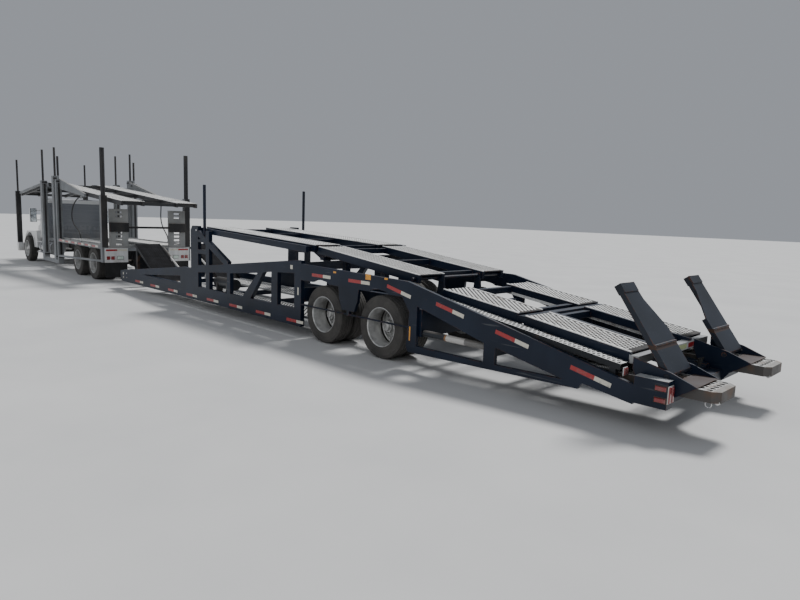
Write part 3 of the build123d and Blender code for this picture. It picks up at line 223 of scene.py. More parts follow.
def arris_wear(place, reach=0.012):
    """Where an outer corner is near, so where paint wears off first."""
    soft = node_beside(place, "ShaderNodeBevel")
    soft.samples = 4
    soft.inputs["Radius"].default_value = reach
    turn = node_beside(place, "ShaderNodeVectorMath")
    turn.operation = "DOT_PRODUCT"
    feed(turn.inputs[0], soft.outputs["Normal"])
    feed(turn.inputs[1], node_beside(place, "ShaderNodeNewGeometry").outputs["Normal"])
    return between(turn.outputs["Value"], 0.995, 0.90)


def within(place, axis, low=None, high=None):
    """1 where the piece lies between two places along an axis, and 0 elsewhere."""
    reach = part_of(place, axis)
    share = 1.0
    if low is not None:
        share = between(reach, low - 0.0005, low + 0.0005)
    if high is not None:
        below = between(reach, high - 0.0005, high + 0.0005, 1.0, 0.0)
        share = below if low is None else times(share, below)
    return share


def spotted(place, colour, spots):
    """This colour, with others inside the spots: each is a colour with its (axis, low, high) ranges."""
    for second, ranges in spots:
        share = 1.0
        for axis, low, high in ranges:
            inside = within(place, axis, low, high)
            share = inside if share == 1.0 else times(share, inside)
        colour = blend(share, colour, second)
    return colour


ROAD_DUST = (0.30, 0.27, 0.23)
RUST = (0.16, 0.062, 0.028)


def worn_paint(name, colour, roughness, dusty=0.6, chips=0.5, spots=(), dust=ROAD_DUST, shine=0.5):
    """Paint on steel: cloudy tone, dust on what looks up, long scratches, rust specks and bare corners."""
    material, shader, place = surface(name, roughness)
    shader.inputs["Specular IOR Level"].default_value = shine
    dark = tuple(part * 0.72 for part in colour)
    light = tuple(min(1.0, part * 1.35 + 0.004) for part in colour)
    paint = spotted(place, cloudy(place, 1.3, dark, light), spots)
    scratch = between(grain(place, 26, 6, (0.06, 1, 1)), 0.66, 0.74)
    bare = tuple(part * 0.5 + 0.14 for part in colour)
    paint = blend(times(scratch, 0.4), paint, bare)
    settled = times(facing_up(place), between(grain(place, 5), 0.3, 0.7, 0.35, 1))
    film = times(between(grain(place, 3, stretch=(1, 1, 0.4)), 0.45, 0.8), 0.35)
    cover = times(calc("MAXIMUM", settled, film), dusty)
    paint = blend(cover, paint, dust)
    speck = between(grain(place, 38, 8), 0.72 - 0.06 * chips, 0.76)
    patch = between(grain(place, 2.1), 0.56, 0.7)
    rusty = times(speck, patch)
    corner = times(arris_wear(place), between(grain(place, 9, 6), 0.45, 0.62))
    worn = times(calc("MAXIMUM", rusty, corner), chips)
    feed(shader.inputs["Base Color"], blend(worn, paint, RUST))
    rough = calc("ADD", times(cover, 0.4), roughness)
    feed(shader.inputs["Roughness"], calc("MAXIMUM", rough, times(worn, 0.85)))
    relief(shader, grain(place, 140, 3), 0.25, 0.001)
    return material


chassis_paint = worn_paint("chassis_paint", (0.022, 0.022, 0.025), 0.6, 0.7)
cast_steel = worn_paint("cast_steel", (0.035, 0.033, 0.032), 0.75, 0.8, 1.0)
engine_iron = worn_paint("engine_iron", (0.09, 0.09, 0.095), 0.7, 0.5, 0.8)
dress(["chassis_frame"], chassis_paint)
dress(["drive_axles", "front_axle", "trailer_axles", "knuckle_left", "knuckle_right"], cast_steel)
dress(["engine"], engine_iron, 0.012)

# Wheels: tubeless tyres on one-piece steel rims, single on the steered axle and in pairs on the others.
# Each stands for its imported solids, round and with grooves, tread blocks, hand holes, studs and hub cap.
SIDES = ((1, "left"), (-1, "right"))
TYRE_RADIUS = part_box("tyres_steer_left")[1].z / 2
TYRE_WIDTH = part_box("tyres_steer_left")[1].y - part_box("tyres_steer_left")[0].y
BEAD_RADIUS = 0.292
TREAD_BLOCKS = 60
STEPS = 2 * TREAD_BLOCKS
GROOVE_DEEP = 0.011


def finished_mesh(name, bm, material, smooth=None):
    """Turns a built mesh into a dressed one; smooth is the steepest corner shaded round."""
    bmesh.ops.recalc_face_normals(bm, faces=bm.faces)
    mesh = bpy.data.meshes.new(name)
    bm.to_mesh(mesh)
    bm.free()
    mesh.materials.append(material)
    if smooth:
        mesh.shade_smooth()
        mesh.set_sharp_from_angle(angle=math.radians(smooth))
    return mesh


def turned(bm, profile, steps, shift=0.0, cut=None):
    """A ring turned about the axle from a closed (y, radius) profile; cut lowers a point at some steps."""
    rings = []
    for step in range(steps):
        angle = math.tau * step / steps
        ring = []
        for number, (y, radius) in enumerate(profile):
            if cut:
                radius -= cut(number, step)
            ring.append(bm.verts.new((radius * math.cos(angle), shift + y, radius * math.sin(angle))))
        rings.append(ring)
    for step in range(steps):
        here, there = rings[step], rings[(step + 1) % steps]
        for number in range(len(profile)):
            after = (number + 1) % len(profile)
            bm.faces.new((here[number], here[after], there[after], there[number]))


def tyre_profile():
    """Half a section is written out and mirrored: bead, ribbed sidewall, shoulder and tread grooves."""
    half = TYRE_WIDTH / 2
    rising = (
        # inside the tyre's side, above the bead
        (0.034, -0.006), (0.016, 0.0), (0.010, 0.012), (0.003, 0.035), (0.0, 0.062),
        (0.002, 0.066), (0.001, 0.100), (0.006, 0.130), (0.004, 0.134),
    )
    shoulder = ((0.014, 0.030), (0.018, 0.012), (0.028, 0.003))
    wall = [(half - inside, BEAD_RADIUS + above) for inside, above in rising]
    wall += [(half - inside, TYRE_RADIUS - below) for inside, below in shoulder]
    tread = []
    for edge in (0.088, 0.030):
        tread += [(edge, TYRE_RADIUS), (edge - 0.002, TYRE_RADIUS - GROOVE_DEEP)]
        tread += [(edge - 0.010, TYRE_RADIUS - GROOVE_DEEP), (edge - 0.012, TYRE_RADIUS)]
    side = wall + tread
    return side + [(-y, radius) for y, radius in reversed(side)]


TYRE_PROFILE = tyre_profile()
BLOCK_POINTS = {
    number for number, (y, radius) in enumerate(TYRE_PROFILE)
    if radius > TYRE_RADIUS - 0.004 and abs(y) > 0.086
}


def tread_cut(number, step):
    """The notches between the shoulder's tread blocks."""
    return GROOVE_DEEP * 0.8 if number in BLOCK_POINTS and step % 2 else 0.0


def tyre_rubber():
    """Black rubber, grey with dust and flecked lighter with wear."""
    material, shader, place = surface("tyre_rubber", 0.85)
    rubber = cloudy(place, 6, (0.018, 0.018, 0.019), (0.045, 0.043, 0.041))
    film = between(grain(place, 2.2, 6, (1, 0.6, 1)), 0.35, 0.7, 0.15, 0.75)
    rubber = blend(film, rubber, (0.105, 0.098, 0.088))
    fine = between(grain(place, 90, 6), 0.62, 0.7)
    feed(shader.inputs["Base Color"], blend(times(fine, 0.3), rubber, (0.2, 0.19, 0.17)))
    relief(shader, grain(place, 220, 3), 0.4, 0.0012)
    return material


def rim_steel():
    """Grey painted rim steel, clouded with dark patches of brake dust."""
    material, shader, place = surface("rim_steel", 0.42, 0.5)
    steel = cloudy(place, 7, (0.50, 0.50, 0.49), (0.72, 0.72, 0.70))
    dirt = between(grain(place, 4, 7), 0.5, 0.7)
    grime = blend(times(dirt, 0.75), steel, (0.085, 0.075, 0.066))
    feed(shader.inputs["Base Color"], grime)
    feed(shader.inputs["Roughness"], between(dirt, 0, 1, 0.34, 0.8))
    relief(shader, grain(place, 120), 0.2, 0.001)
    return material


RIM_PROFILE = (
    # y from the wheel's outer face, radius
    (-0.004, 0.288), (0.000, 0.294), (-0.002, 0.300), (-0.008, 0.302), (-0.016, 0.298), (-0.024, 0.290),
    (-0.060, 0.286), (-0.100, 0.268), (-0.150, 0.266), (-0.190, 0.284), (-0.250, 0.286), (-0.262, 0.299),
    (-0.270, 0.300), (-0.273, 0.290), (-0.262, 0.281), (-0.190, 0.276), (-0.150, 0.258), (-0.100, 0.260),
    (-0.062, 0.277), (-0.024, 0.281), (-0.010, 0.283),
)
RIM_STEPS = 72
HAND_HOLES = 10
HAND_HOLE_RADIUS = 0.030
HAND_HOLE_CIRCLE = 0.212
STUDS = 10
STUD_CIRCLE = 0.162
HUB_BOLTS = 8
HUB_BOLT_CIRCLE = 0.078
DISC_RADIUS = 0.262
DISC_BORE = 0.115
DISC_THICK = 0.014


def on_circle(radius, step, steps, x=0.0, z=0.0):
    """A point on a circle, so many steps round it."""
    angle = math.tau * step / steps
    return x + radius * math.cos(angle), z + radius * math.sin(angle)


def outline_ring(bm, radius, y, steps, x=0.0, z=0.0):
    """A closed ring of edges standing across the axle."""
    ring = []
    for step in range(steps):
        point_x, point_z = on_circle(radius, step, steps, x, z)
        ring.append(bm.verts.new((point_x, y, point_z)))
    return [bm.edges.new((ring[step], ring[(step + 1) % steps])) for step in range(steps)]


def rod(bm, start, end, radius, sides=16, tip=None):
    """A round bar between two points, tapered to tip where given."""
    start, end = Vector(start), Vector(end)
    run = end - start
    turn = run.to_track_quat("Z", "Y").to_matrix().to_4x4()
    spot = Matrix.Translation((start + end) / 2) @ turn
    bmesh.ops.create_cone(
        bm, cap_ends=True, segments=sides, radius1=radius, radius2=radius if tip is None else tip,
        depth=run.length, matrix=spot,
    )


def push_out(bm, faces, way):
    """Gives flat faces a thickness by pushing them out."""
    pushed = bmesh.ops.extrude_face_region(bm, geom=faces)
    moved = [part for part in pushed["geom"] if isinstance(part, bmesh.types.BMVert)]
    bmesh.ops.translate(bm, vec=way, verts=moved)


def wheel_disc(bm, y):
    """The pressed disc with its ring of hand holes."""
    edges = outline_ring(bm, DISC_RADIUS, y, 60) + outline_ring(bm, DISC_BORE, y, 40)
    for hole in range(HAND_HOLES):
        edges += outline_ring(bm, HAND_HOLE_RADIUS, y, 14, *on_circle(HAND_HOLE_CIRCLE, hole, HAND_HOLES))
    filled = bmesh.ops.triangle_fill(bm, use_beauty=True, edges=edges)
    faces = [part for part in filled["geom"] if isinstance(part, bmesh.types.BMFace)]
    push_out(bm, faces, (0, -DISC_THICK, 0))


def hub(bm, disc_y, hub_y):
    """The hub through the disc: its drum, its cap and the cap's face, with wheel studs and cap bolts."""
    rod(bm, (0, disc_y - 0.10, 0), (0, disc_y + 0.045, 0), 0.118, 40)
    rod(bm, (0, disc_y + 0.045, 0), (0, hub_y - 0.03, 0), 0.098, 40, 0.086)
    rod(bm, (0, hub_y - 0.03, 0), (0, hub_y, 0), 0.07, 32, 0.055)
    for stud in range(STUDS):
        x, z = on_circle(STUD_CIRCLE, stud + 0.5, STUDS)
        rod(bm, (x, disc_y, z), (x, disc_y + 0.022, z), 0.021, 6)
        rod(bm, (x, disc_y + 0.022, z), (x, disc_y + 0.044, z), 0.011, 10)
    for bolt in range(HUB_BOLTS):
        x, z = on_circle(HUB_BOLT_CIRCLE, bolt, HUB_BOLTS)
        rod(bm, (x, hub_y - 0.034, z), (x, hub_y - 0.022, z), 0.009, 6)


rubber = tyre_rubber()
steel = rim_steel()
WHEELS = (
    # wheels, how far their tyres, their disc and their hub stand behind the outer face
    (("steer",), (0.0,), 0.095, 0.006),
    (("drive_front", "drive_rear", "trailer_front", "trailer_rear"), (0.0, 0.320), 0.335, 0.120),
)
for wheels, depths, disc_depth, hub_depth in WHEELS:
    tyres, rims = bmesh.new(), bmesh.new()
    for depth in depths:
        turned(tyres, TYRE_PROFILE, STEPS, -TYRE_WIDTH / 2 - depth, tread_cut)
        turned(rims, [(y - depth, radius) for y, radius in RIM_PROFILE], RIM_STEPS)
    wheel_disc(rims, -disc_depth)
    hub(rims, -disc_depth, -hub_depth)
    tyre_mesh = finished_mesh(f"tyre_{len(depths)}", tyres, rubber, 38)
    rim_mesh = finished_mesh(f"rim_{len(depths)}", rims, steel, 38)
    for wheel, (side, word) in itertools.product(wheels, SIDES):
        low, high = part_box(f"tyres_{wheel}_{word}")
        middle = (low + high) / 2
        face = high.y if side > 0 else low.y
        for mesh, part in ((tyre_mesh, "tyres"), (rim_mesh, "rim")):
            wheel_piece = bpy.data.objects.new(f"{part}_{wheel}_{word}_made", mesh)
            wheel_piece.location = (middle.x, face, middle.z)
            wheel_piece.rotation_euler = (0, 0, 0 if side > 0 else math.pi)
            bpy.context.scene.collection.objects.link(wheel_piece)
            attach(wheel_piece, f"wheel_{wheel}_{word}")
            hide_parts(f"{part}_{wheel}_{word}")

# Cab: a welded white shell with a fibreglass hood, doors with their mirrors, and dark trim inside.
# White gloss paint, dull with dust low down, over panels riveted at their seams.


def gloss_white(name, spots=()):
    """White gloss paint with dust that thickens towards the ground."""
    material, shader, place = surface(name, 0.28, 0.0, 0.4)
    paint = spotted(place, cloudy(place, 2, (0.68, 0.69, 0.69), (0.78, 0.79, 0.79)), spots)
    low = between(part_of(place, "Z"), 1.5, 0.4)
    dirt = times(low, between(grain(place, 8, 6, (1, 1, 0.3)), 0.35, 0.7, 0.1, 0.8))
    feed(shader.inputs["Base Color"], blend(dirt, paint, (0.36, 0.33, 0.29)))
    feed(shader.inputs["Roughness"], between(dirt, 0, 1, 0.25, 0.75))
    relief(shader, grain(place, 60), 0.05, 0.001)
    return material


def black_trim(name, colour, roughness, dusty=0.4):
    """Grained black plastic or rubber trim, greyed by sun and dust."""
    material, shader, place = surface(name, roughness)
    light = tuple(part * 2.2 for part in colour)
    tone = cloudy(place, 5, colour, light, 0.35, 0.7, 6)
    dust = times(facing_up(place), dusty)
    shader.inputs["Specular IOR Level"].default_value = 0.5 if dusty else 0.1
    feed(shader.inputs["Base Color"], blend(dust, tone, (0.17, 0.16, 0.14)))
    relief(shader, grain(place, 260), 0.3, 0.0008)
    return material


def seat_cloth():
    """Grey woven cloth."""
    material, shader, place = surface("seat_cloth", 0.9)
    weave = grain(place, 320, 2, (1, 0.3, 1))
    tone = blend(between(weave, 0.35, 0.65), (0.03, 0.032, 0.036), (0.08, 0.083, 0.09))
    feed(shader.inputs["Base Color"], tone)
    relief(shader, weave, 0.5, 0.001)
    return material


def tinted_glass():
    """Tinted safety glass with a light film of dust."""
    material, shader, place = surface("tinted_glass", 0.05)
    feed(shader.inputs["Base Color"], (0.42, 0.5, 0.5))
    shader.inputs["Transmission Weight"].default_value = 0.9
    shader.inputs["IOR"].default_value = 1.45
    feed(shader.inputs["Roughness"], between(grain(place, 5, 6), 0.4, 0.8, 0.03, 0.25))
    return material


CAB_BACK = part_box("cab_shell")[0].x
CAB_BACK_TOP = 2.20
white_paint = gloss_white("white_paint")
BACK_GREY = (0.215, 0.230, 0.255)
back_panel = BACK_GREY, (("X", None, CAB_BACK + 0.022), ("Z", None, CAB_BACK_TOP))
cab_paint = gloss_white("cab_paint", (back_panel,))
trim = black_trim("black_trim", (0.018, 0.018, 0.019), 0.6)
dress(["cab_shell"], cab_paint, 0.012, 3)
dress(["hood"], white_paint, 0.02, 3)
dress(["door_left", "door_right", "bumper"], white_paint, 0.008, 3)
dress(["grille", "dashboard"], trim, 0.003)
dress(["seats"], seat_cloth(), 0.03, 4)
dress(["cab_glass"], tinted_glass(), 0.002)
dress(["headlamps"], tinted_glass(), 0.006)

# Side tanks: round fuel tanks of bare aluminium with a tread plate step, strapped to the chassis rails.
# The sheet has oxidised dull, with road dirt dried on it.


def tread_plate():
    """Bare aluminium tank and step plate, oxidised and dusty."""
    material, shader, place = surface("tank_aluminium", 0.4, 0.85)
    bare = cloudy(place, 4, (0.42, 0.43, 0.44), (0.62, 0.63, 0.64), detail=6, stretch=(1, 1, 0.3))
    dirt = between(grain(place, 9, 7), 0.5, 0.72)
    feed(shader.inputs["Base Color"], blend(times(dirt, 0.5), bare, (0.2, 0.18, 0.15)))
    feed(shader.inputs["Roughness"], between(dirt, 0, 1, 0.32, 0.8))
    relief(shader, grain(place, 90), 0.15, 0.001)
    return material


dress(["side_tanks"], tread_plate(), 0.008)

# Cab fittings: mirror glasses in rubber frames, door handles, wipers, and straps and fillers on the tanks.
# Silvered glass, chromed levers, and arms and straps of black painted steel, screwed or clamped on.
CAB_SIDE = 1.0
MIRROR_X = (10.3165, 10.3205)
MIRROR_Y = (1.205, 1.385)
MIRROR_GLASSES = ((1.515, 1.770), (1.785, 1.975))
RIM_X = (10.314, 10.321)
RIM_WIDE = 0.009
HANDLE_PARTS = (
    # dish, lever and its foot: x, y off the door's side, z, taper
    ((9.830, 9.990), (0.000, 0.012), (1.470, 1.540), 0.005),
    ((9.840, 9.960), (0.022, 0.034), (1.492, 1.520), 0.004),
    ((9.940, 9.965), (0.008, 0.030), (1.495, 1.517), 0.003),
)
WIPER_RODS = (
    # the pivot, the arm and the blade on the left: start and end, radius, sides, radius at the tip
    ((10.700, 0.10, 1.680), (10.700, 0.10, 1.650), 0.018, 12, None),
    ((10.700, 0.10, 1.680), (10.600, 0.46, 1.812), 0.007, 8, None),
    ((10.672, 0.24, 1.706), (10.528, 0.62, 1.905), 0.006, 6, None),
)
TANK_RODS = (
    # two straps with their bolts, and the filler on top: start and end, radius, sides, radius at the tip
    ((9.45, 0.83, 0.600), (9.50, 0.83, 0.600), 0.2535, 48, None),
    ((9.43, 1.02, 0.775), (9.52, 1.02, 0.775), 0.012, 8, None),
    ((10.36, 0.83, 0.600), (10.41, 0.83, 0.600), 0.2535, 48, None),
    ((10.34, 1.02, 0.775), (10.43, 1.02, 0.775), 0.012, 8, None),
    ((9.80, 0.88, 0.830), (9.80, 0.88, 0.872), 0.052, 20, 0.045),
)


def side_span(side, inner, outer):
    """Where a thing from inner to outer lies across the rig on one side: its lowest and highest y."""
    return sorted((side * inner, side * outer))


def add_block(bm, spot, low, high, taper=0.0):
    """A block between two corners in a spot's own axes, its top drawn in by taper all round."""
    made = []
    for z, inset in ((low[2], 0.0), (high[2], taper)):
        x_low, y_low, x_high, y_high = low[0] + inset, low[1] + inset, high[0] - inset, high[1] - inset
        for x, y in ((x_low, y_low), (x_high, y_low), (x_high, y_high), (x_low, y_high)):
            made.append(bm.verts.new(spot @ Vector((x, y, z))))
    for corners in ((3, 2, 1, 0), (4, 5, 6, 7), (0, 1, 5, 4), (1, 2, 6, 5), (2, 3, 7, 6), (3, 0, 4, 7)):
        bm.faces.new([made[number] for number in corners])


def add_upright(bm, x, y, z, taper=0.0):
    """A block along the rig's own axes, between its lowest and highest x, y and z."""
    add_block(bm, Matrix.Identity(4), *zip(x, y, z), taper)


def new_piece(name, bm, material, body, smooth=None):
    """Turns a built mesh into a piece that rides on a body."""
    thing = bpy.data.objects.new(name, finished_mesh(name, bm, material, smooth))
    bpy.context.scene.collection.objects.link(thing)
    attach(thing, body)
    return thing


def bright_metal(name, colour, roughness):
    """Plated or silvered metal with a light haze of dust."""
    material, shader, place = surface(name, roughness, 0.9)
    haze = between(grain(place, 6, 7), 0.42, 0.72)
    dull = tuple(part * 0.7 for part in colour)
    feed(shader.inputs["Base Color"], blend(haze, colour, dull))
    feed(shader.inputs["Roughness"], between(haze, 0, 1, roughness, roughness + 0.3))
    relief(shader, grain(place, 90), 0.02, 0.0002)
    return material


mirror_silver = bright_metal("mirror_silver", (0.62, 0.66, 0.68), 0.06)
chrome = bright_metal("chrome", (0.72, 0.72, 0.71), 0.14)
for side, word in SIDES:
    mirrors, rims, levers, wipers, straps = [bmesh.new() for part in range(5)]
    y_low, y_high = side_span(side, *MIRROR_Y)
    for low, high in MIRROR_GLASSES:
        add_upright(mirrors, MIRROR_X, (y_low, y_high), (low, high), 0.001)
        for z in (low - RIM_WIDE, high):
            add_upright(rims, RIM_X, (y_low - RIM_WIDE, y_high + RIM_WIDE), (z, z + RIM_WIDE), 0.001)
        for y in (y_low - RIM_WIDE, y_high):
            add_upright(rims, RIM_X, (y, y + RIM_WIDE), (low, high), 0.001)
    for x, y, z, taper in HANDLE_PARTS:
        add_upright(levers, x, side_span(side, CAB_SIDE + y[0], CAB_SIDE + y[1]), z, taper)
    for bm, parts in ((wipers, WIPER_RODS), (straps, TANK_RODS)):
        for start, end, radius, sides, tip in parts:
            near, far = (start[0], side * start[1], start[2]), (end[0], side * end[1], end[2])
            rod(bm, near, far, radius, sides, tip)
    new_piece(f"mirror_glass_{word}", mirrors, mirror_silver, f"door_{word}")
    new_piece(f"mirror_rim_{word}", rims, trim, f"door_{word}")
    new_piece(f"door_handle_{word}", levers, chrome, f"door_{word}")
    new_piece(f"wiper_{word}", wipers, trim, "truck")
    new_piece(f"tank_straps_{word}", straps, trim, "truck", 40)

# Rack on the truck: welded steel posts, arms and bridge ramps in grey paint, black stakes that slide in the
# posts, black overhead decks hung on pins, and a galvanised deck bolted over the drive wheels.


def weathered_zinc(name, dark, light, rust_share, metallic=0.7, spots=(), under=None):
    """Hot-dip zinc gone matt: faint spangle, wheel scuffs, dirty clouds, rust coming through, and painted
    shade off its tops.
    """
    material, shader, place = surface(name, 0.5, metallic)
    spangle = node_beside(place, "ShaderNodeTexVoronoi")
    spangle.inputs["Scale"].default_value = 55
    feed(spangle.inputs["Vector"], place)
    zinc = blend(part_of(spangle.outputs["Color"], "X"), dark, light)
    cloud = between(grain(place, 3, 6, (0.5, 1, 1)), 0.3, 0.75)
    zinc = blend(times(cloud, 0.45), zinc, tuple(part * 0.5 for part in dark))
    # Where a shade colour is given, the faces that don't look up take it as painted shade.
    if under:
        zinc = blend(facing_up(place, 0.5, 0.75), under, zinc)
    zinc = spotted(place, zinc, spots)
    bleed = between(grain(place, 5, 8), 0.62 - rust_share * 0.16, 0.75)
    stain = times(bleed, 0.8)
    corner = times(arris_wear(place), between(grain(place, 14), 0.5, 0.65))
    worn = calc("MAXIMUM", stain, times(corner, rust_share))
    feed(shader.inputs["Base Color"], blend(worn, zinc, (0.15, 0.085, 0.05)))
    dull = calc("MAXIMUM", worn, cloud)
    feed(shader.inputs["Roughness"], between(dull, 0, 1, 0.36, 0.72))
    relief(shader, grain(place, 110, 5), 0.25, 0.0012)
    return material


ZINC_DARK = (0.40, 0.405, 0.40)
ZINC_LIGHT = (0.56, 0.565, 0.56)
zinc = weathered_zinc("runway_zinc", ZINC_DARK, ZINC_LIGHT, 0.25, 0.35)
RACK_GREY = (0.20, 0.212, 0.222)
STEEL_BLACK = (0.013, 0.013, 0.015)
DARK_STAKES = (
    (STEEL_BLACK, (("X", None, 3.62), ("Z", 2.452, None))),  # rear masts
    (STEEL_BLACK, (("X", None, 3.3765), ("Z", 0.99, None))),  # their sliding lower halves
    (STEEL_BLACK, (("X", 7.0, 8.1), ("Z", 3.082, None))),  # stakes on the middle posts
    (STEEL_BLACK, (("X", 9.0, 9.5), ("Z", 2.952, None))),  # stakes behind the cab
    (STEEL_BLACK, (("X", 12.55, None), ("Z", 0.66, None))),  # front posts
)
bridge_pads = STEEL_BLACK, (("X", None, 3.3195),)
grey_paint = worn_paint("rack_grey", RACK_GREY, 0.5, 0.5, 0.6, DARK_STAKES)
deck_black = worn_paint("overhead_black", (0.030, 0.032, 0.035), 0.5, 0.35, 0.8)
ramp_grey = worn_paint("bridge_grey", (0.27, 0.275, 0.27), 0.5, 0.5, 0.8, (bridge_pads,))
dress(["rack_posts"], grey_paint)
dress(["lower_deck"], zinc, 0.003)
dress(["overhead_front", "overhead_rear"], deck_black, 0.003)
dress(["bridge_ramps"], ramp_grey, 0.003)
dress(["tail_panels"], white_paint, 0.003)
dress(["mudflaps"], black_trim("mudflap_rubber", (0.012, 0.012, 0.012), 0.85), 0.002)

# Post channels: down the back of each rack post a dark slot with a row of pin holes, where the sliding mast
# inside is pinned, and a clamp band round its head and foot. Black painted steel, the rims rubbed dark.
POST_SLOTS = (
    # x of the post's rear face, x of its front face, foot and top of the slot
    (7.470, 7.590, 0.50, 2.84), (7.760, 7.960, 0.50, 2.94), (9.080, 9.310, 0.50, 2.84),
)
SLOT_Y = (1.180, 1.245)
SLOT_DEEP = 0.003
BAND_Y = (1.122, 1.294)
BAND_HIGH = 0.05
BAND_OUT = 0.008
PIN_PITCH = 0.14
PIN_FROM = 0.08
PIN_OUT = 0.005
PIN_RIM = (
    # the four sides of a hole's square rim: y and z from its middle
    ((-0.019, 0.019), (-0.019, -0.012)), ((-0.019, 0.019), (0.012, 0.019)),
    ((-0.019, -0.012), (-0.012, 0.012)), ((0.012, 0.019), (-0.012, 0.012)),
)
dark_steel = worn_paint("dark_steel", (0.016, 0.016, 0.018), 0.5, 0.3, 0.6)
dark_grip = weathered_zinc("dark_grip", (0.022, 0.022, 0.022), (0.050, 0.050, 0.050), 0.0, 0.3)
slots, pin_holes = bmesh.new(), bmesh.new()
for side, word in SIDES:
    slot_y, band_y = side_span(side, *SLOT_Y), side_span(side, *BAND_Y)
    y = sum(slot_y) / 2
    for x_back, x_face, foot, head in POST_SLOTS:
        add_upright(slots, (x_back - SLOT_DEEP, x_back), slot_y, (foot, head), 0.001)
        for z in (head + 0.03, foot - 0.09):
            add_upright(slots, (x_back - BAND_OUT, x_face + BAND_OUT), band_y, (z, z + BAND_HIGH), 0.002)
        for hole in range(int((head - foot) / PIN_PITCH)):
            z = foot + PIN_FROM + hole * PIN_PITCH
            for rim_y, rim_z in PIN_RIM:
                rim_x = (x_back - PIN_OUT, x_back - SLOT_DEEP)
                add_upright(pin_holes, rim_x, [y + part for part in rim_y], [z + part for part in rim_z])
new_piece("post_slots", slots, dark_steel, "truck")
new_piece("post_pin_holes", pin_holes, dark_grip, "truck")

# Hydraulic hoses: black reinforced rubber hoses with a crimped steel ferrule and hexagon nut at both ends.
# They hang free from a clip under each side arm to a clip on the sill.
HOSES = (
    # hose, its length, points along it
    ("hose_left", 2.513, (
        (5.400, 1.160, 2.400), (5.600, 1.160, 2.400), (5.880, 1.168, 2.325), (6.130, 1.180, 2.180),
        (6.290, 1.192, 1.980), (6.290, 1.206, 1.770), (6.110, 1.222, 1.600), (5.870, 1.238, 1.500),
        (5.630, 1.250, 1.425), (5.405, 1.259, 1.340), (5.314, 1.262, 1.215), (5.314, 1.262, 1.070),
    )),
    ("hose_right", 1.438, (
        (5.150, -1.160, 2.380), (5.150, -1.160, 2.240), (5.190, -1.168, 2.080), (5.245, -1.180, 1.900),
        (5.250, -1.194, 1.720), (5.190, -1.210, 1.560), (5.080, -1.228, 1.420), (4.965, -1.243, 1.310),
        (4.890, -1.258, 1.190), (4.890, -1.258, 1.070),
    )),
)
HOSE_RADIUS = 0.018
FERRULE_RODS = (
    # nut, ferrule and its lip: start and end along the hose, radius, sides
    (0.0, 0.020, 0.024, 6), (0.020, 0.075, 0.0205, 20), (0.075, 0.080, 0.0215, 20),
)
hose_rubber = black_trim("hose_rubber", (0.010, 0.010, 0.011), 0.55)
for name, length, route in HOSES:
    line = bpy.data.curves.new(f"{name}_made", "CURVE")
    line.dimensions = "3D"
    line.bevel_depth = HOSE_RADIUS
    line.bevel_resolution = 4
    line.resolution_u = 10
    spline = line.splines.new("NURBS")
    spline.points.add(len(route) - 1)
    for knot, spot in zip(spline.points, route):
        knot.co = (*spot, 1)
    spline.order_u = 3
    spline.use_endpoint_u = True
    line.materials.append(hose_rubber)
    hose = bpy.data.objects.new(f"{name}_made", line)
    bpy.context.scene.collection.objects.link(hose)
    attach(hose, "truck")
    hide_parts(name)
    bm = bmesh.new()
    for end, toward in ((route[0], route[1]), (route[-1], route[-2])):
        along = (Vector(toward) - Vector(end)).normalized()
        for start, stop, radius, sides in FERRULE_RODS:
            rod(bm, Vector(end) + along * start, Vector(end) + along * stop, radius, sides)
    ferrules = new_piece(f"ferrules_{name}", bm, chrome, "truck", 40)

# Trailer frames: side trusses, spine and tail rails folded and welded from steel plate, in dark blue paint
# that is scratched and dusty. The plates at the flippers' feet are rusty and the tops of the end boxes pale.
NAVY = (0.0024, 0.0088, 0.0245)
NAVY_DUST = (0.055, 0.070, 0.092)
PALE_GREY = (0.42, 0.43, 0.43)
RUSTY = (0.050, 0.026, 0.016)
FOOT_PLATES = [
    (RUSTY, (("X", None, -12.38), ("Y", low, high), ("Z", 0.54, 0.56)))
    for low, high in ((0.563, 1.129), (-1.129, -0.563))
]
BOX_TOPS = [
    (PALE_GREY, (("X", None, -12.06), ("Y", low, high), ("Z", 0.588, None)))
    for low, high in ((1.15, None), (None, -1.15))
]
navy = worn_paint("navy_paint", NAVY, 0.36, 0.30, 0.6, (), NAVY_DUST, 0.3)
dress(["forward_frames"], navy)
dress(["centre_frame"], worn_paint("centre_navy", NAVY, 0.36, 0.30, 0.8, FOOT_PLATES, NAVY_DUST, 0.3))
dress(["tail_frames"], worn_paint("tail_navy", NAVY, 0.36, 0.30, 0.6, BOX_TOPS, NAVY_DUST, 0.3))

# Trailer cylinders: painted barrels with plated rods between the neck ramps and under the tail, and the
# dark air tank strapped on its saddles.
CYLINDER_PARTS = (
    ((0.66, 0.66, 0.64), (("X", 0.44, 0.93), ("Y", -0.43, 0.43))),  # plated rods at the neck
    ((0.20, 0.195, 0.185), (("X", -10.2, -9.75), ("Z", None, 0.60))),  # grey barrels in the tail
    ((0.62, 0.60, 0.56), (("X", -9.75, -9.43), ("Z", None, 0.60))),  # their plated rods
    ((0.34, 0.17, 0.07), (("X", -9.43, -9.40), ("Z", None, 0.60))),  # and bronze glands
)
cylinder_paint = worn_paint("cylinder_paint", (0.020, 0.023, 0.028), 0.4, 0.4, 0.6, CYLINDER_PARTS)
dress(["trailer_cylinders"], cylinder_paint, 0.006)
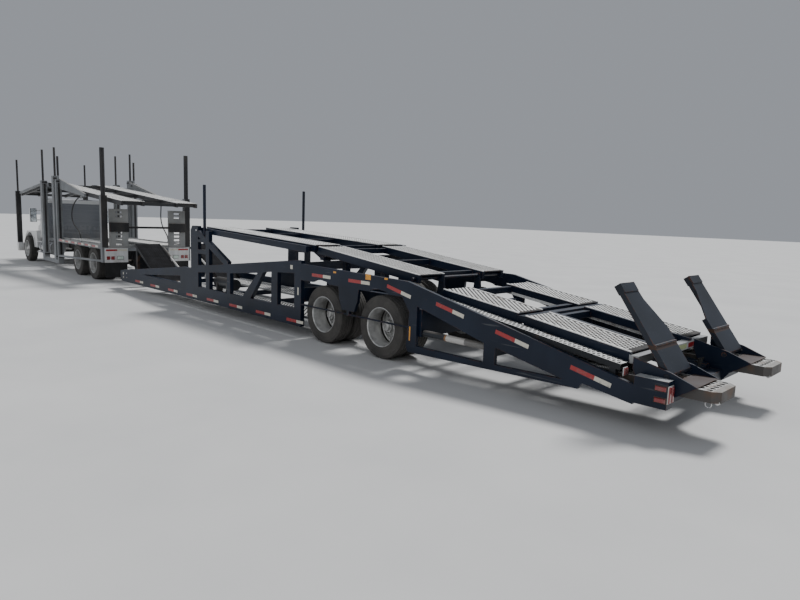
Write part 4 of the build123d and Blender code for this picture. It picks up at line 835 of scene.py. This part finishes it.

# Trailer decks: swinging decks and tail deck on navy beams pinned to the frames, a galvanised well floor
# that turns dark where it climbs the neck, and catwalks whose zinc is bright on top, with near-black painted
# shade on their sides and undersides.
NEAR_BLACK = (0.014, 0.016, 0.020)
neck_part = NEAR_BLACK, (("X", -0.03, None),)
end_beam = PALE_GREY, (("X", None, -11.885), ("Z", None, 0.735))
floor_zinc = weathered_zinc("floor_zinc", ZINC_DARK, ZINC_LIGHT, 0.35, 0.35, (neck_part,))
# The catwalks' faces that don't look up are near black: painted shade, not their zinc.
walk_zinc = weathered_zinc(
    "catwalk_zinc", (0.44, 0.445, 0.44), (0.62, 0.62, 0.61), 0.2, 0.3, under=NEAR_BLACK,
)
deck_navy = worn_paint("rear_deck_navy", NAVY, 0.4, 0.4, 0.8, (end_beam,), NAVY_DUST, 0.3)
dress(["well_floor"], floor_zinc, 0.003)
dress(["catwalks"], walk_zinc, 0.003)
dress(["front_deck", "middle_deck"], navy, 0.003)
dress(["rear_deck"], deck_navy, 0.003)

# Runway grips: each runway is clad in galvanised planks between two edge rails. The swinging decks have
# cross bars with punched teeth, the fixed lengths rows of pressed-up buttons, all over a near-black plank
# face that is partly dirt and partly painted shade in its hollows.


def shade_and_grime_plank():
    """The face of a plank between its grips: painted shade and dirty zinc, with rust creeping from the
    punchings.
    """
    material, shader, place = surface("shade_and_grime_plank", 0.8, 0.3)
    dirt = cloudy(place, 6, (0.020, 0.020, 0.020), (0.070, 0.066, 0.060), 0.35, 0.7, 6)
    spots = times(between(grain(place, 11, 8), 0.58, 0.7), 0.6)
    feed(shader.inputs["Base Color"], blend(spots, dirt, (0.12, 0.065, 0.038)))
    relief(shader, grain(place, 130), 0.3, 0.001)
    return material


def run_frame(front, rear, side, y_middle):
    """Places a runway's own axes: along its run to the rear, across to the left, and up from its surface."""
    start = Vector((front[0], side * y_middle, front[1]))
    along = Vector((rear[0] - front[0], 0, rear[1] - front[1]))
    length = along.length
    along.normalize()
    across = Vector((0, 1, 0))
    turn = Matrix((along, across, across.cross(along))).transposed().to_4x4()
    return Matrix.Translation(start) @ turn, length


GRIP_FROM = 0.02
GRIP_PITCH = 0.070
GRIP_HIGH = 0.006
BAR_HIGH = GRIP_HIGH * 0.45
BAR_WIDE = 0.030
TOOTH = 0.030
TOOTH_INSET = 0.004
BUTTON_FROM = 0.035
BUTTON_MARGIN = 0.04
BUTTON_PITCH = 0.045
BUTTON_COLUMNS = 6
BUTTON_LONG = 0.025
BUTTON_WIDE = 0.022
BUTTON_HIGH = 0.005
BUTTON_SIDES = 6
EDGE_WIDE = 0.034
EDGE_HIGH = 0.010
FACE_THICK = 0.0015
FACE_EDGE = 0.004
RUNWAYS = (
    # deck, body, front x and z, rear x and z, inner and outer edge, grip
    ("front_deck", "front_deck", (-2.28, 1.770), (-6.19, 1.590), 0.460, 1.020, "bars"),
    ("middle_deck", "middle_deck", (-6.30, 1.570), (-8.70, 1.300), 0.460, 1.020, "bars"),
    ("rear_deck_upper", "trailer", (-9.17, 1.150), (-10.43, 0.985), 0.460, 1.020, "buttons"),
    ("rear_deck_lower", "trailer", (-10.53, 0.965), (-11.90, 0.760), 0.460, 1.020, "buttons"),
    ("well_floor", "trailer", (-0.05, 0.340), (-6.15, 0.340), 0.460, 1.100, "buttons"),
    ("neck_ramp", "trailer", (1.49, 1.189), (0.02, 0.357), 0.460, 1.100, "bars"),
    ("overhead_front", "overhead_front", (12.80, 2.560), (9.40, 2.900), 0.450, 1.090, "bars"),
    ("overhead_rear", "overhead_rear", (9.00, 2.890), (2.45, 2.300), 0.450, 1.090, "bars"),
    ("lower_deck", "truck", (7.74, 1.030), (3.53, 1.030), 0.400, 1.080, "bars"),
)


def add_bars(bm, spot, length, reach):
    """Cross bars down a runway, each with its row of punched teeth."""
    teeth = int(2 * reach / (TOOTH * 2))
    for row in range(int((length - GRIP_FROM) / GRIP_PITCH)):
        x = GRIP_FROM + row * GRIP_PITCH
        add_block(bm, spot, (x, -reach, 0), (x + BAR_WIDE, reach, BAR_HIGH), 0.002)
        for tooth in range(teeth + 1):
            y = -reach + (2 * reach - TOOTH) * tooth / teeth
            far_corner = (x + BAR_WIDE - TOOTH_INSET, y + TOOTH, GRIP_HIGH)
            add_block(bm, spot, (x + TOOTH_INSET, y, BAR_HIGH), far_corner, 0.003)


def add_button(bm, spot, x, y):
    """A pressed-up oval button with a flat worn top."""
    made = []
    for z, share in ((0.0, 1.0), (BUTTON_HIGH, 0.62)):
        for step in range(BUTTON_SIDES):
            angle = math.tau * step / BUTTON_SIDES
            long, wide = BUTTON_LONG * share * math.cos(angle), BUTTON_WIDE * share * math.sin(angle)
            made.append(bm.verts.new(spot @ Vector((x + long, y + wide, z))))
    for step in range(BUTTON_SIDES):
        after = (step + 1) % BUTTON_SIDES
        bm.faces.new((made[step], made[after], made[BUTTON_SIDES + after], made[BUTTON_SIDES + step]))
    bm.faces.new(made[BUTTON_SIDES:])


def add_buttons(bm, spot, length, reach):
    """Staggered rows of buttons down a runway."""
    for row in range(int((length - BUTTON_MARGIN) / BUTTON_PITCH)):
        columns = BUTTON_COLUMNS + row % 2
        for column in range(columns):
            y = (column - (columns - 1) / 2) * (2 * reach / (BUTTON_COLUMNS + 0.6))
            add_button(bm, spot, BUTTON_FROM + row * BUTTON_PITCH, y)


grip_zinc = weathered_zinc("grip_zinc", (0.70, 0.70, 0.68), (0.90, 0.90, 0.88), 0.1, 0.15)
plank_shade_and_grime = shade_and_grime_plank()
neck_black = black_trim("neck_black", (0.008, 0.008, 0.009), 0.85, 0.0)
for deck, body, front, rear, y_in, y_out, grip in RUNWAYS:
    half = (y_out - y_in) / 2
    reach = half - EDGE_WIDE - 0.006
    planks, grips = bmesh.new(), bmesh.new()
    for side, word in SIDES:
        spot, length = run_frame(front, rear, side, (y_in + y_out) / 2)
        far_corner = (length - FACE_EDGE, half - FACE_EDGE, FACE_THICK)
        add_block(planks, spot, (FACE_EDGE, FACE_EDGE - half, 0), far_corner)
        for edge in (-half, half - EDGE_WIDE):
            add_block(grips, spot, (0, edge, 0), (length, edge + EDGE_WIDE, EDGE_HIGH), 0.003)
        if grip == "bars":
            add_bars(grips, spot, length, reach)
        else:
            add_buttons(grips, spot, length, reach)
    # Between the grips lies a near-black plank face: painted shade mixed with dirt.
    under_foot, finish = (neck_black, neck_black) if deck == "neck_ramp" else (plank_shade_and_grime, grip_zinc)
    new_piece(f"plank_shade_and_grime_{deck}", planks, under_foot, body)
    new_piece(f"plank_grip_{deck}", grips, finish, body)

# Catwalk planks beside the tail decks: galvanised walkways with round holes punched in three staggered rows.
# The holes' rims are pressed up a little and worn pale by boots. Bolted to the outside of the deck beams.
CATWALK_FRONT = (-9.25, 1.053)
CATWALK_REAR = (-11.90, 0.663)
CATWALK_Y = (1.060, 1.245)
HOLE_LINES = (-0.058, 0.0, 0.058)
HOLE_FROM = 0.035
HOLE_PITCH = 0.060
HOLE_RADIUS = 0.0235
RING_WIDE = 0.004
RING_HIGH = 0.0016
MOUTH_HIGH = 0.0012


def add_ring(bm, spot, x, y, inner, outer, high, sides=10):
    """A raised ring round a punched hole: its outer slope, its top and its inner wall."""
    made = []
    for radius, z in ((outer, 0.0), (outer * 0.85, high), (inner, high), (inner, 0.0005)):
        for step in range(sides):
            point_x, point_y = on_circle(radius, step, sides, x, y)
            made.append(bm.verts.new(spot @ Vector((point_x, point_y, z))))
    for level in range(3):
        for step in range(sides):
            here, there = level * sides + step, level * sides + (step + 1) % sides
            bm.faces.new([made[number] for number in (here, there, there + sides, here + sides)])


def add_disc(bm, spot, x, y, radius, z, sides=10):
    """A near-black disc of painted shade in the mouth of a punched hole."""
    points = [on_circle(radius, step, sides, x, y) for step in range(sides)]
    bm.faces.new([bm.verts.new(spot @ Vector((*point, z))) for point in points])


# Near black with little shine: painted shade in the punched holes, and the triangular plate's own black.
hole_shade_and_plate_black = black_trim("hole_shade_and_black_plate", (0.005, 0.005, 0.005), 0.9, 0.0)
rings, shade_discs = bmesh.new(), bmesh.new()
for side, word in SIDES:
    spot, length = run_frame(CATWALK_FRONT, CATWALK_REAR, side, sum(CATWALK_Y) / 2)
    for row in range(int(length / HOLE_PITCH)):
        for line in HOLE_LINES:
            x = HOLE_FROM + row * HOLE_PITCH + (HOLE_PITCH / 2 if line else 0.0)
            if x < length - HOLE_PITCH / 2:
                add_ring(rings, spot, x, line, HOLE_RADIUS, HOLE_RADIUS + RING_WIDE, RING_HIGH)
                # each hole's mouth is a near-black disc of painted shade
                add_disc(shade_discs, spot, x, line, HOLE_RADIUS, MOUTH_HIGH)
new_piece("catwalk_rings", rings, grip_zinc, "trailer")
new_piece("catwalk_hole_shade", shade_discs, hole_shade_and_plate_black, "trailer")

# Reflective tapes and markers on the side frames: red and white lengths, amber and white squares, cut from
# reflective sheet and stuck on. Bolted steel caps cover the front deck's pins and the frames' front ends.
record_joints = {joint["name"]: joint for joint in frame["record"]["behaviour"]["joints"]}
AXLE_X = record_joints["spin_trailer_front_left"]["pos_m"][0]
SIDE_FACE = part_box("forward_frames")[1].y
TAPE_THICK = 0.0012
TAPE_HIGH = 0.052
RED_LONG = 0.30
WHITE_LONG = 0.20
TAIL_SLOPE = 0.2222
LEVEL_TAPES = (
    # distance of its front end ahead of the front axle, height
    (0.25, 1.12), (-0.70, 1.12), (0.98, 0.27), (2.00, 0.27), (3.00, 0.27), (3.95, 0.27),
    (4.90, 0.27), (5.85, 0.27), (6.85, 0.27), (7.80, 0.28),
)
SLOPING_TAPES = ((-1.58, 1.125), (-2.55, 0.985), (-3.55, 0.765), (-4.60, 0.530))
WHITE_MARKERS = (
    # distance of its front end ahead of the front axle, height, length, width
    (0.88, 1.20, 0.07, 0.07), (8.62, 0.40, 0.05, 0.06), (8.62, 0.30, 0.05, 0.04), (0.66, 0.80, 0.035, 0.13),
)
AMBER_MARKERS = (
    (-1.10, 1.215, 0.12, 0.085), (-0.32, 1.215, 0.07, 0.028), (-1.52, 1.225, 0.07, 0.028),
    (-2.06, 0.50, 0.025, 0.20),
)
PIVOT_CAPS = (
    # x, z and radius
    (-2.347, 1.700, 0.048), (1.62, 0.42, 0.034), (1.62, 0.31, 0.034),
)
CAP_RODS = (
    # the cap and its bolt: start and end off the frame's face, share of the radius, sides
    (-0.010, -0.001, 1.0, 28), (-0.002, 0.004, 0.45, 6),
)


def tape_finish(name, colour, roughness=0.3):
    """Retroreflective sheet: fine honeycomb under a clear face, scuffed and dusty."""
    material, shader, place = surface(name, roughness, 0.0, 0.3)
    cells = node_beside(place, "ShaderNodeTexVoronoi")
    cells.inputs["Scale"].default_value = 300
    cells.feature = "DISTANCE_TO_EDGE"
    feed(cells.inputs["Vector"], place)
    dull = tuple(part * 0.7 for part in colour)
    tone = blend(between(cells.outputs["Distance"], 0.0, 0.12), dull, colour)
    scuff = between(grain(place, 16, 8), 0.55, 0.72)
    feed(shader.inputs["Base Color"], blend(times(scuff, 0.55), tone, (0.22, 0.2, 0.18)))
    feed(shader.inputs["Roughness"], between(scuff, 0, 1, roughness, 0.8))
    return material


def add_tape(bm, side, x, z, slope, start, end, high=TAPE_HIGH):
    """A length of tape on a side's outer face, from start to end behind x, sloping down to the rear."""
    spot = Matrix.Translation((x, side * SIDE_FACE, z)) @ Matrix.Rotation(math.atan(-slope), 4, "Y")
    y_low, y_high = side_span(side, 0.0, TAPE_THICK)
    add_block(bm, spot, (-end, y_low, -high / 2), (-start, y_high, high / 2))


tape_red = tape_finish("tape_red", (0.42, 0.018, 0.020))
tape_white = tape_finish("tape_white", (0.74, 0.71, 0.60))
amber = tape_finish("amber_reflector", (0.85, 0.36, 0.02), 0.2)
for side, word in SIDES:
    reds, whites, ambers, caps = [bmesh.new() for part in range(4)]
    for places, slope in ((LEVEL_TAPES, 0.0), (SLOPING_TAPES, TAIL_SLOPE)):
        for ahead_x, z in places:
            add_tape(reds, side, AXLE_X + ahead_x, z, slope, 0.0, RED_LONG)
            add_tape(whites, side, AXLE_X + ahead_x, z, slope, RED_LONG, RED_LONG + WHITE_LONG)
    for bm, markers in ((whites, WHITE_MARKERS), (ambers, AMBER_MARKERS)):
        for ahead_x, z, long, wide in markers:
            add_tape(bm, side, AXLE_X + ahead_x, z, 0, 0.0, long, wide)
    for x, z, radius in PIVOT_CAPS:
        for start, end, share, sides in CAP_RODS:
            near, far = side * SIDE_FACE + side * start, side * SIDE_FACE + side * end
            rod(caps, (x, near, z), (x, far, z), radius * share, sides)
    new_piece(f"pivot_caps_{word}", caps, grip_zinc, "trailer", 35)
    new_piece(f"tapes_red_{word}", reds, tape_red, "trailer")
    new_piece(f"tapes_white_{word}", whites, tape_white, "trailer")
    new_piece(f"markers_amber_{word}", ambers, amber, "trailer")

# Lamps at the rig's two tails: red lenses in dark or white frames on the trailer's end boxes, on the ends
# of its catwalks and on the truck's white panels. Moulded lenses pressed over a reflector and screwed on.


def lens(name, colour):
    """Moulded lens with its fine prisms."""
    material, shader, place = surface(name, 0.15, 0.0, 0.6)
    prisms = node_beside(place, "ShaderNodeTexWave")
    prisms.inputs["Scale"].default_value = 60
    prisms.bands_direction = "Z"
    feed(prisms.inputs["Vector"], place)
    light = tuple(min(1.0, part * 1.6 + 0.03) for part in colour)
    tone = blend(prisms.outputs["Fac"], colour, light)
    dirt = between(grain(place, 9, 6), 0.5, 0.75)
    feed(shader.inputs["Base Color"], blend(times(dirt, 0.35), tone, (0.2, 0.18, 0.16)))
    relief(shader, prisms.outputs["Fac"], 0.3, 0.001)
    return material


def add_pillow(bm, spot, half_long, half_high, deep):
    """A cushion-shaped lens or frame standing out along its own z."""
    taper = min(0.008, deep * 0.6)
    add_block(bm, spot, (-half_long, -half_high, 0), (half_long, half_high, deep), taper)


def facing(place_at, outward):
    """Axes for a lamp whose face looks outward: its x lies level and its y stands up."""
    outward = Vector(outward)
    level = Vector((0, 0, 1)).cross(outward).normalized()
    turn = Matrix((level, Vector((0, 0, 1)), outward)).transposed().to_4x4()
    return Matrix.Translation(place_at) @ turn


red_lens = lens("red_lens", (0.17, 0.005, 0.006))
clear_lens = lens("clear_lens", (0.50, 0.58, 0.52))
LAMPS = (
    # name, body, x, y, z, looks, half length, half height, lens, frame
    ("box_side_high", "trailer", -12.360, 1.295, 0.510, (0, 1, 0), 0.058, 0.026, red_lens, dark_steel),
    ("box_side_low", "trailer", -12.360, 1.295, 0.390, (0, 1, 0), 0.058, 0.026, red_lens, dark_steel),
    ("box_rear_outer", "trailer", -12.430, 1.262, 0.450, (-1, 0, 0), 0.024, 0.085, red_lens, white_paint),
    ("box_rear_inner", "trailer", -12.430, 1.190, 0.450, (-1, 0, 0), 0.024, 0.085, red_lens, white_paint),
    ("catwalk_end", "trailer", -11.912, 1.150, 0.575, (-1, 0, 0), 0.045, 0.040, red_lens, white_paint),
    ("panel_square_outer", "truck", 3.350, 1.150, 0.690, (-1, 0, 0), 0.050, 0.050, red_lens, white_paint),
    ("panel_square_inner", "truck", 3.350, 1.025, 0.690, (-1, 0, 0), 0.050, 0.050, red_lens, white_paint),
    ("panel_white", "truck", 3.350, 0.820, 0.690, (-1, 0, 0), 0.085, 0.046, clear_lens, dark_steel),
)
for name, body, x, y, z, looks, half_long, half_high, glass, paint in LAMPS:
    for side, word in SIDES:
        spot = facing((x, side * y, z), (looks[0], side * looks[1], looks[2]))
        bezel, moulding = bmesh.new(), bmesh.new()
        add_pillow(bezel, spot, half_long + 0.007, half_high + 0.007, 0.008)
        add_pillow(moulding, spot @ Matrix.Translation((0, 0, 0.006)), half_long, half_high, 0.014)
        new_piece(f"lamp_frame_{name}_{word}", bezel, paint, body)
        new_piece(f"lamp_{name}_{word}", moulding, glass, body)

# Truck sides and tail panels: red and white tape along each lower sill, and a red and white stripe over the
# lamps. Reflective sheet stuck on, the sill's in short lengths.
SILL_TAPES = (7.34, 6.72, 6.10, 5.48, 4.86, 4.24)
SILL_Z = 0.995
SILL_TAPE_HIGH = 0.05
STRIPE_X = (3.3488, 3.350)
STRIPE_Z = (0.885, 0.935)
reds, whites = bmesh.new(), bmesh.new()
for side, word in SIDES:
    for x in SILL_TAPES:
        add_tape(reds, side, x, SILL_Z, 0.0, 0.0, 0.30, SILL_TAPE_HIGH)
        add_tape(whites, side, x, SILL_Z, 0.0, 0.30, 0.52, SILL_TAPE_HIGH)
    for bm, inner, outer in ((reds, 0.90, 1.21), (whites, 0.64, 0.90)):
        add_upright(bm, STRIPE_X, side_span(side, inner, outer), STRIPE_Z)
new_piece("sill_tapes_red", reds, tape_red, "truck")
new_piece("sill_tapes_white", whites, tape_white, "truck")

# Pale beam across the deck's end: two strips of reflective tape held by rivets, and a blank black triangular
# plate bolted beside the left lug. Cut from sheet steel and painted.
BEAM_TAPES = (
    # name, colour, right and left end
    ("red", (0.30, 0.014, 0.016), -0.68, -0.37), ("pale", (0.50, 0.56, 0.30), -0.31, 0.08),
)
BEAM_TAPE_X = (-11.9915, -11.990)
BEAM_TAPE_Z = (0.655, 0.715)
RIVET_X = (-11.9935, -11.9915)
RIVET_Z = (0.679, 0.691)
RIVET_HALF = 0.006
PLATE_X = -12.420
PLATE_THICK = 0.003
PLATE_CORNERS = ((0.541, 0.730), (0.340, 0.718), (0.500, 0.575))
PLATE_BOLTS = ((0.515, 0.712), (0.385, 0.705), (0.495, 0.612))
for name, colour, y_low, y_high in BEAM_TAPES:
    strip = bmesh.new()
    add_upright(strip, BEAM_TAPE_X, (y_low, y_high), BEAM_TAPE_Z)
    for y in (y_low + 0.02, y_high - 0.02):
        add_upright(strip, RIVET_X, (y - RIVET_HALF, y + RIVET_HALF), RIVET_Z, 0.002)
    new_piece(f"beam_tape_{name}", strip, tape_finish(f"beam_{name}", colour), "trailer")
bm = bmesh.new()
plate = bm.faces.new([bm.verts.new((PLATE_X, y, z)) for y, z in PLATE_CORNERS])
push_out(bm, [plate], (-PLATE_THICK, 0, 0))
for y, z in PLATE_BOLTS:
    rod(bm, (-12.422, y, z), (-12.428, y, z), 0.007, 6)
rod(bm, (-12.412, 0.500, 0.690), (-12.412, 0.545, 0.690), 0.010, 8)
new_piece("triangle_plate", bm, hole_shade_and_plate_black, "trailer")

# Deck flanges: the bright lower lip on the inner channel of each tail deck runway. Rolled from galvanised
# strip as one angle and welded along the channel.
FLANGE_PARTS = (
    # inner and outer face off the runway's inner edge, underside and top from the runway's surface
    (-0.004, 0.004, -0.130, -0.095), (-0.030, 0.0, -0.1305, -0.1275),
)
flanges = bmesh.new()
for deck, body, front, rear, y_in, y_out, grip in RUNWAYS:
    if deck.startswith("rear_deck"):
        for side, word in SIDES:
            spot, length = run_frame(front, rear, side, 0)
            for inner, outer, z_low, z_high in FLANGE_PARTS:
                y_low, y_high = side_span(side, y_in + inner, y_in + outer)
                add_block(flanges, spot, (0.02, y_low, z_low), (length - 0.02, y_high, z_high), 0.001)
new_piece("deck_flanges", flanges, grip_zinc, "trailer")

# Corrugated conduit: a black split sleeve of moulded plastic with its rings close together, which carries
# the tail lamps' wires. It is clipped under the left catwalk.
CONDUIT = ((-11.010, 0.735), (-11.150, 0.640), (-11.350, 0.585), (-11.600, 0.570), (-11.790, 0.580))
CONDUIT_Y = 1.207
CONDUIT_RADIUS = 0.0305
CONDUIT_PITCH = 0.018
bm = bmesh.new()
for near, far in zip(CONDUIT, CONDUIT[1:]):
    start, end = Vector((near[0], CONDUIT_Y, near[1])), Vector((far[0], CONDUIT_Y, far[1]))
    count = int((end - start).length / CONDUIT_PITCH)
    along = (end - start).normalized()
    for ring in range(1, count):
        spot = start + (end - start) * ring / count
        rod(bm, spot, spot + along * (CONDUIT_PITCH / 2), CONDUIT_RADIUS, 14)
new_piece("conduit_rings", bm, trim, "trailer", 40)

# Flippers: loading flaps folded from steel plate and hung on pins between the tail's side plates. Navy
# paint, scratched by wheels and rusty at the fold.
FLIPPER_NAVY = (0.010, 0.014, 0.023)
fold_band = RUSTY, (("Z", 0.850, 0.893),)
flipper_navy = worn_paint("flipper_navy", FLIPPER_NAVY, 0.42, 0.4, 1.0, (fold_band,), NAVY_DUST, 0.35)
dress(["flipper_left", "flipper_right"], flipper_navy, 0.004)

# Skids: galvanised pull-out planks that slide in the tail's boxes, with staggered punched holes, and rollers
# and a shackle ring of bright steel at the rear. Worn grey zinc, brown at the edges.
SKID_TOP = 0.540
SKID_HOLE = 0.031
SKID_ROWS = 20
SKID_ROW_PITCH = 0.086
SKID_COLUMNS = 5
SKID_COLUMN_PITCH = 0.088
SKID_EDGE = 0.022
SKID_EDGE_FROM = 0.01
SKID_EDGE_TO = 1.71
ROLLER_Z = 0.428
ROLLER_RODS = ((0.045, 0.022, 18), (0.052, 0.009, 8))
SHACKLE_RADIUS = 0.030
SHACKLE_STEPS = 20
SHACKLE_Z = 0.405
# The skids' faces that don't look up take a darker grey-brown as painted shade.
skid_zinc = weathered_zinc(
    "skid_zinc", (0.17, 0.165, 0.155), (0.27, 0.265, 0.25), 0.7, 0.3, under=(0.08, 0.075, 0.07),
)
dress(["skid_left", "skid_right"], skid_zinc, 0.003)
for side, word in SIDES:
    low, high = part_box(f"skid_{word}")
    half = (high.y - low.y) / 2
    spot = Matrix.Translation((high.x, (low.y + high.y) / 2, SKID_TOP)) @ Matrix.Rotation(math.pi, 4, "Z")
    rings, shade_discs, rollers = [bmesh.new() for part in range(3)]
    for row in range(SKID_ROWS):
        columns = SKID_COLUMNS + row % 2
        for column in range(columns):
            x, y = 0.06 + row * SKID_ROW_PITCH, (column - (columns - 1) / 2) * SKID_COLUMN_PITCH
            add_ring(rings, spot, x, y, SKID_HOLE, SKID_HOLE + 0.005, 0.0014, 8)
            # each hole's mouth is a near-black disc of painted shade
            add_disc(shade_discs, spot, x, y, SKID_HOLE, 0.001, 8)
    for edge in (-half, half - SKID_EDGE):
        add_block(rings, spot, (SKID_EDGE_FROM, edge, 0), (SKID_EDGE_TO, edge + SKID_EDGE, 0.004), 0.001)
    for y in (low.y + 0.10, high.y - 0.10):
        for reach, radius, sides in ROLLER_RODS:
            x = low.x + 0.030
            rod(rollers, (x, y - reach, ROLLER_Z), (x, y + reach, ROLLER_Z), radius, sides)
    y = low.y + SKID_EDGE if side < 0 else high.y - SKID_EDGE
    for step in range(SHACKLE_STEPS):
        x, z = on_circle(SHACKLE_RADIUS, step, SHACKLE_STEPS, low.x + 0.10, SHACKLE_Z)
        next_x, next_z = on_circle(SHACKLE_RADIUS, step + 1, SHACKLE_STEPS, low.x + 0.10, SHACKLE_Z)
        rod(rollers, (x, y, z), (next_x, y, next_z), 0.005, 8)
    new_piece(f"skid_rings_{word}", rings, zinc, f"skid_{word}")
    new_piece(f"skid_hole_shade_{word}", shade_discs, hole_shade_and_plate_black, f"skid_{word}")
    new_piece(f"skid_rollers_{word}", rollers, chrome, f"skid_{word}", 40)
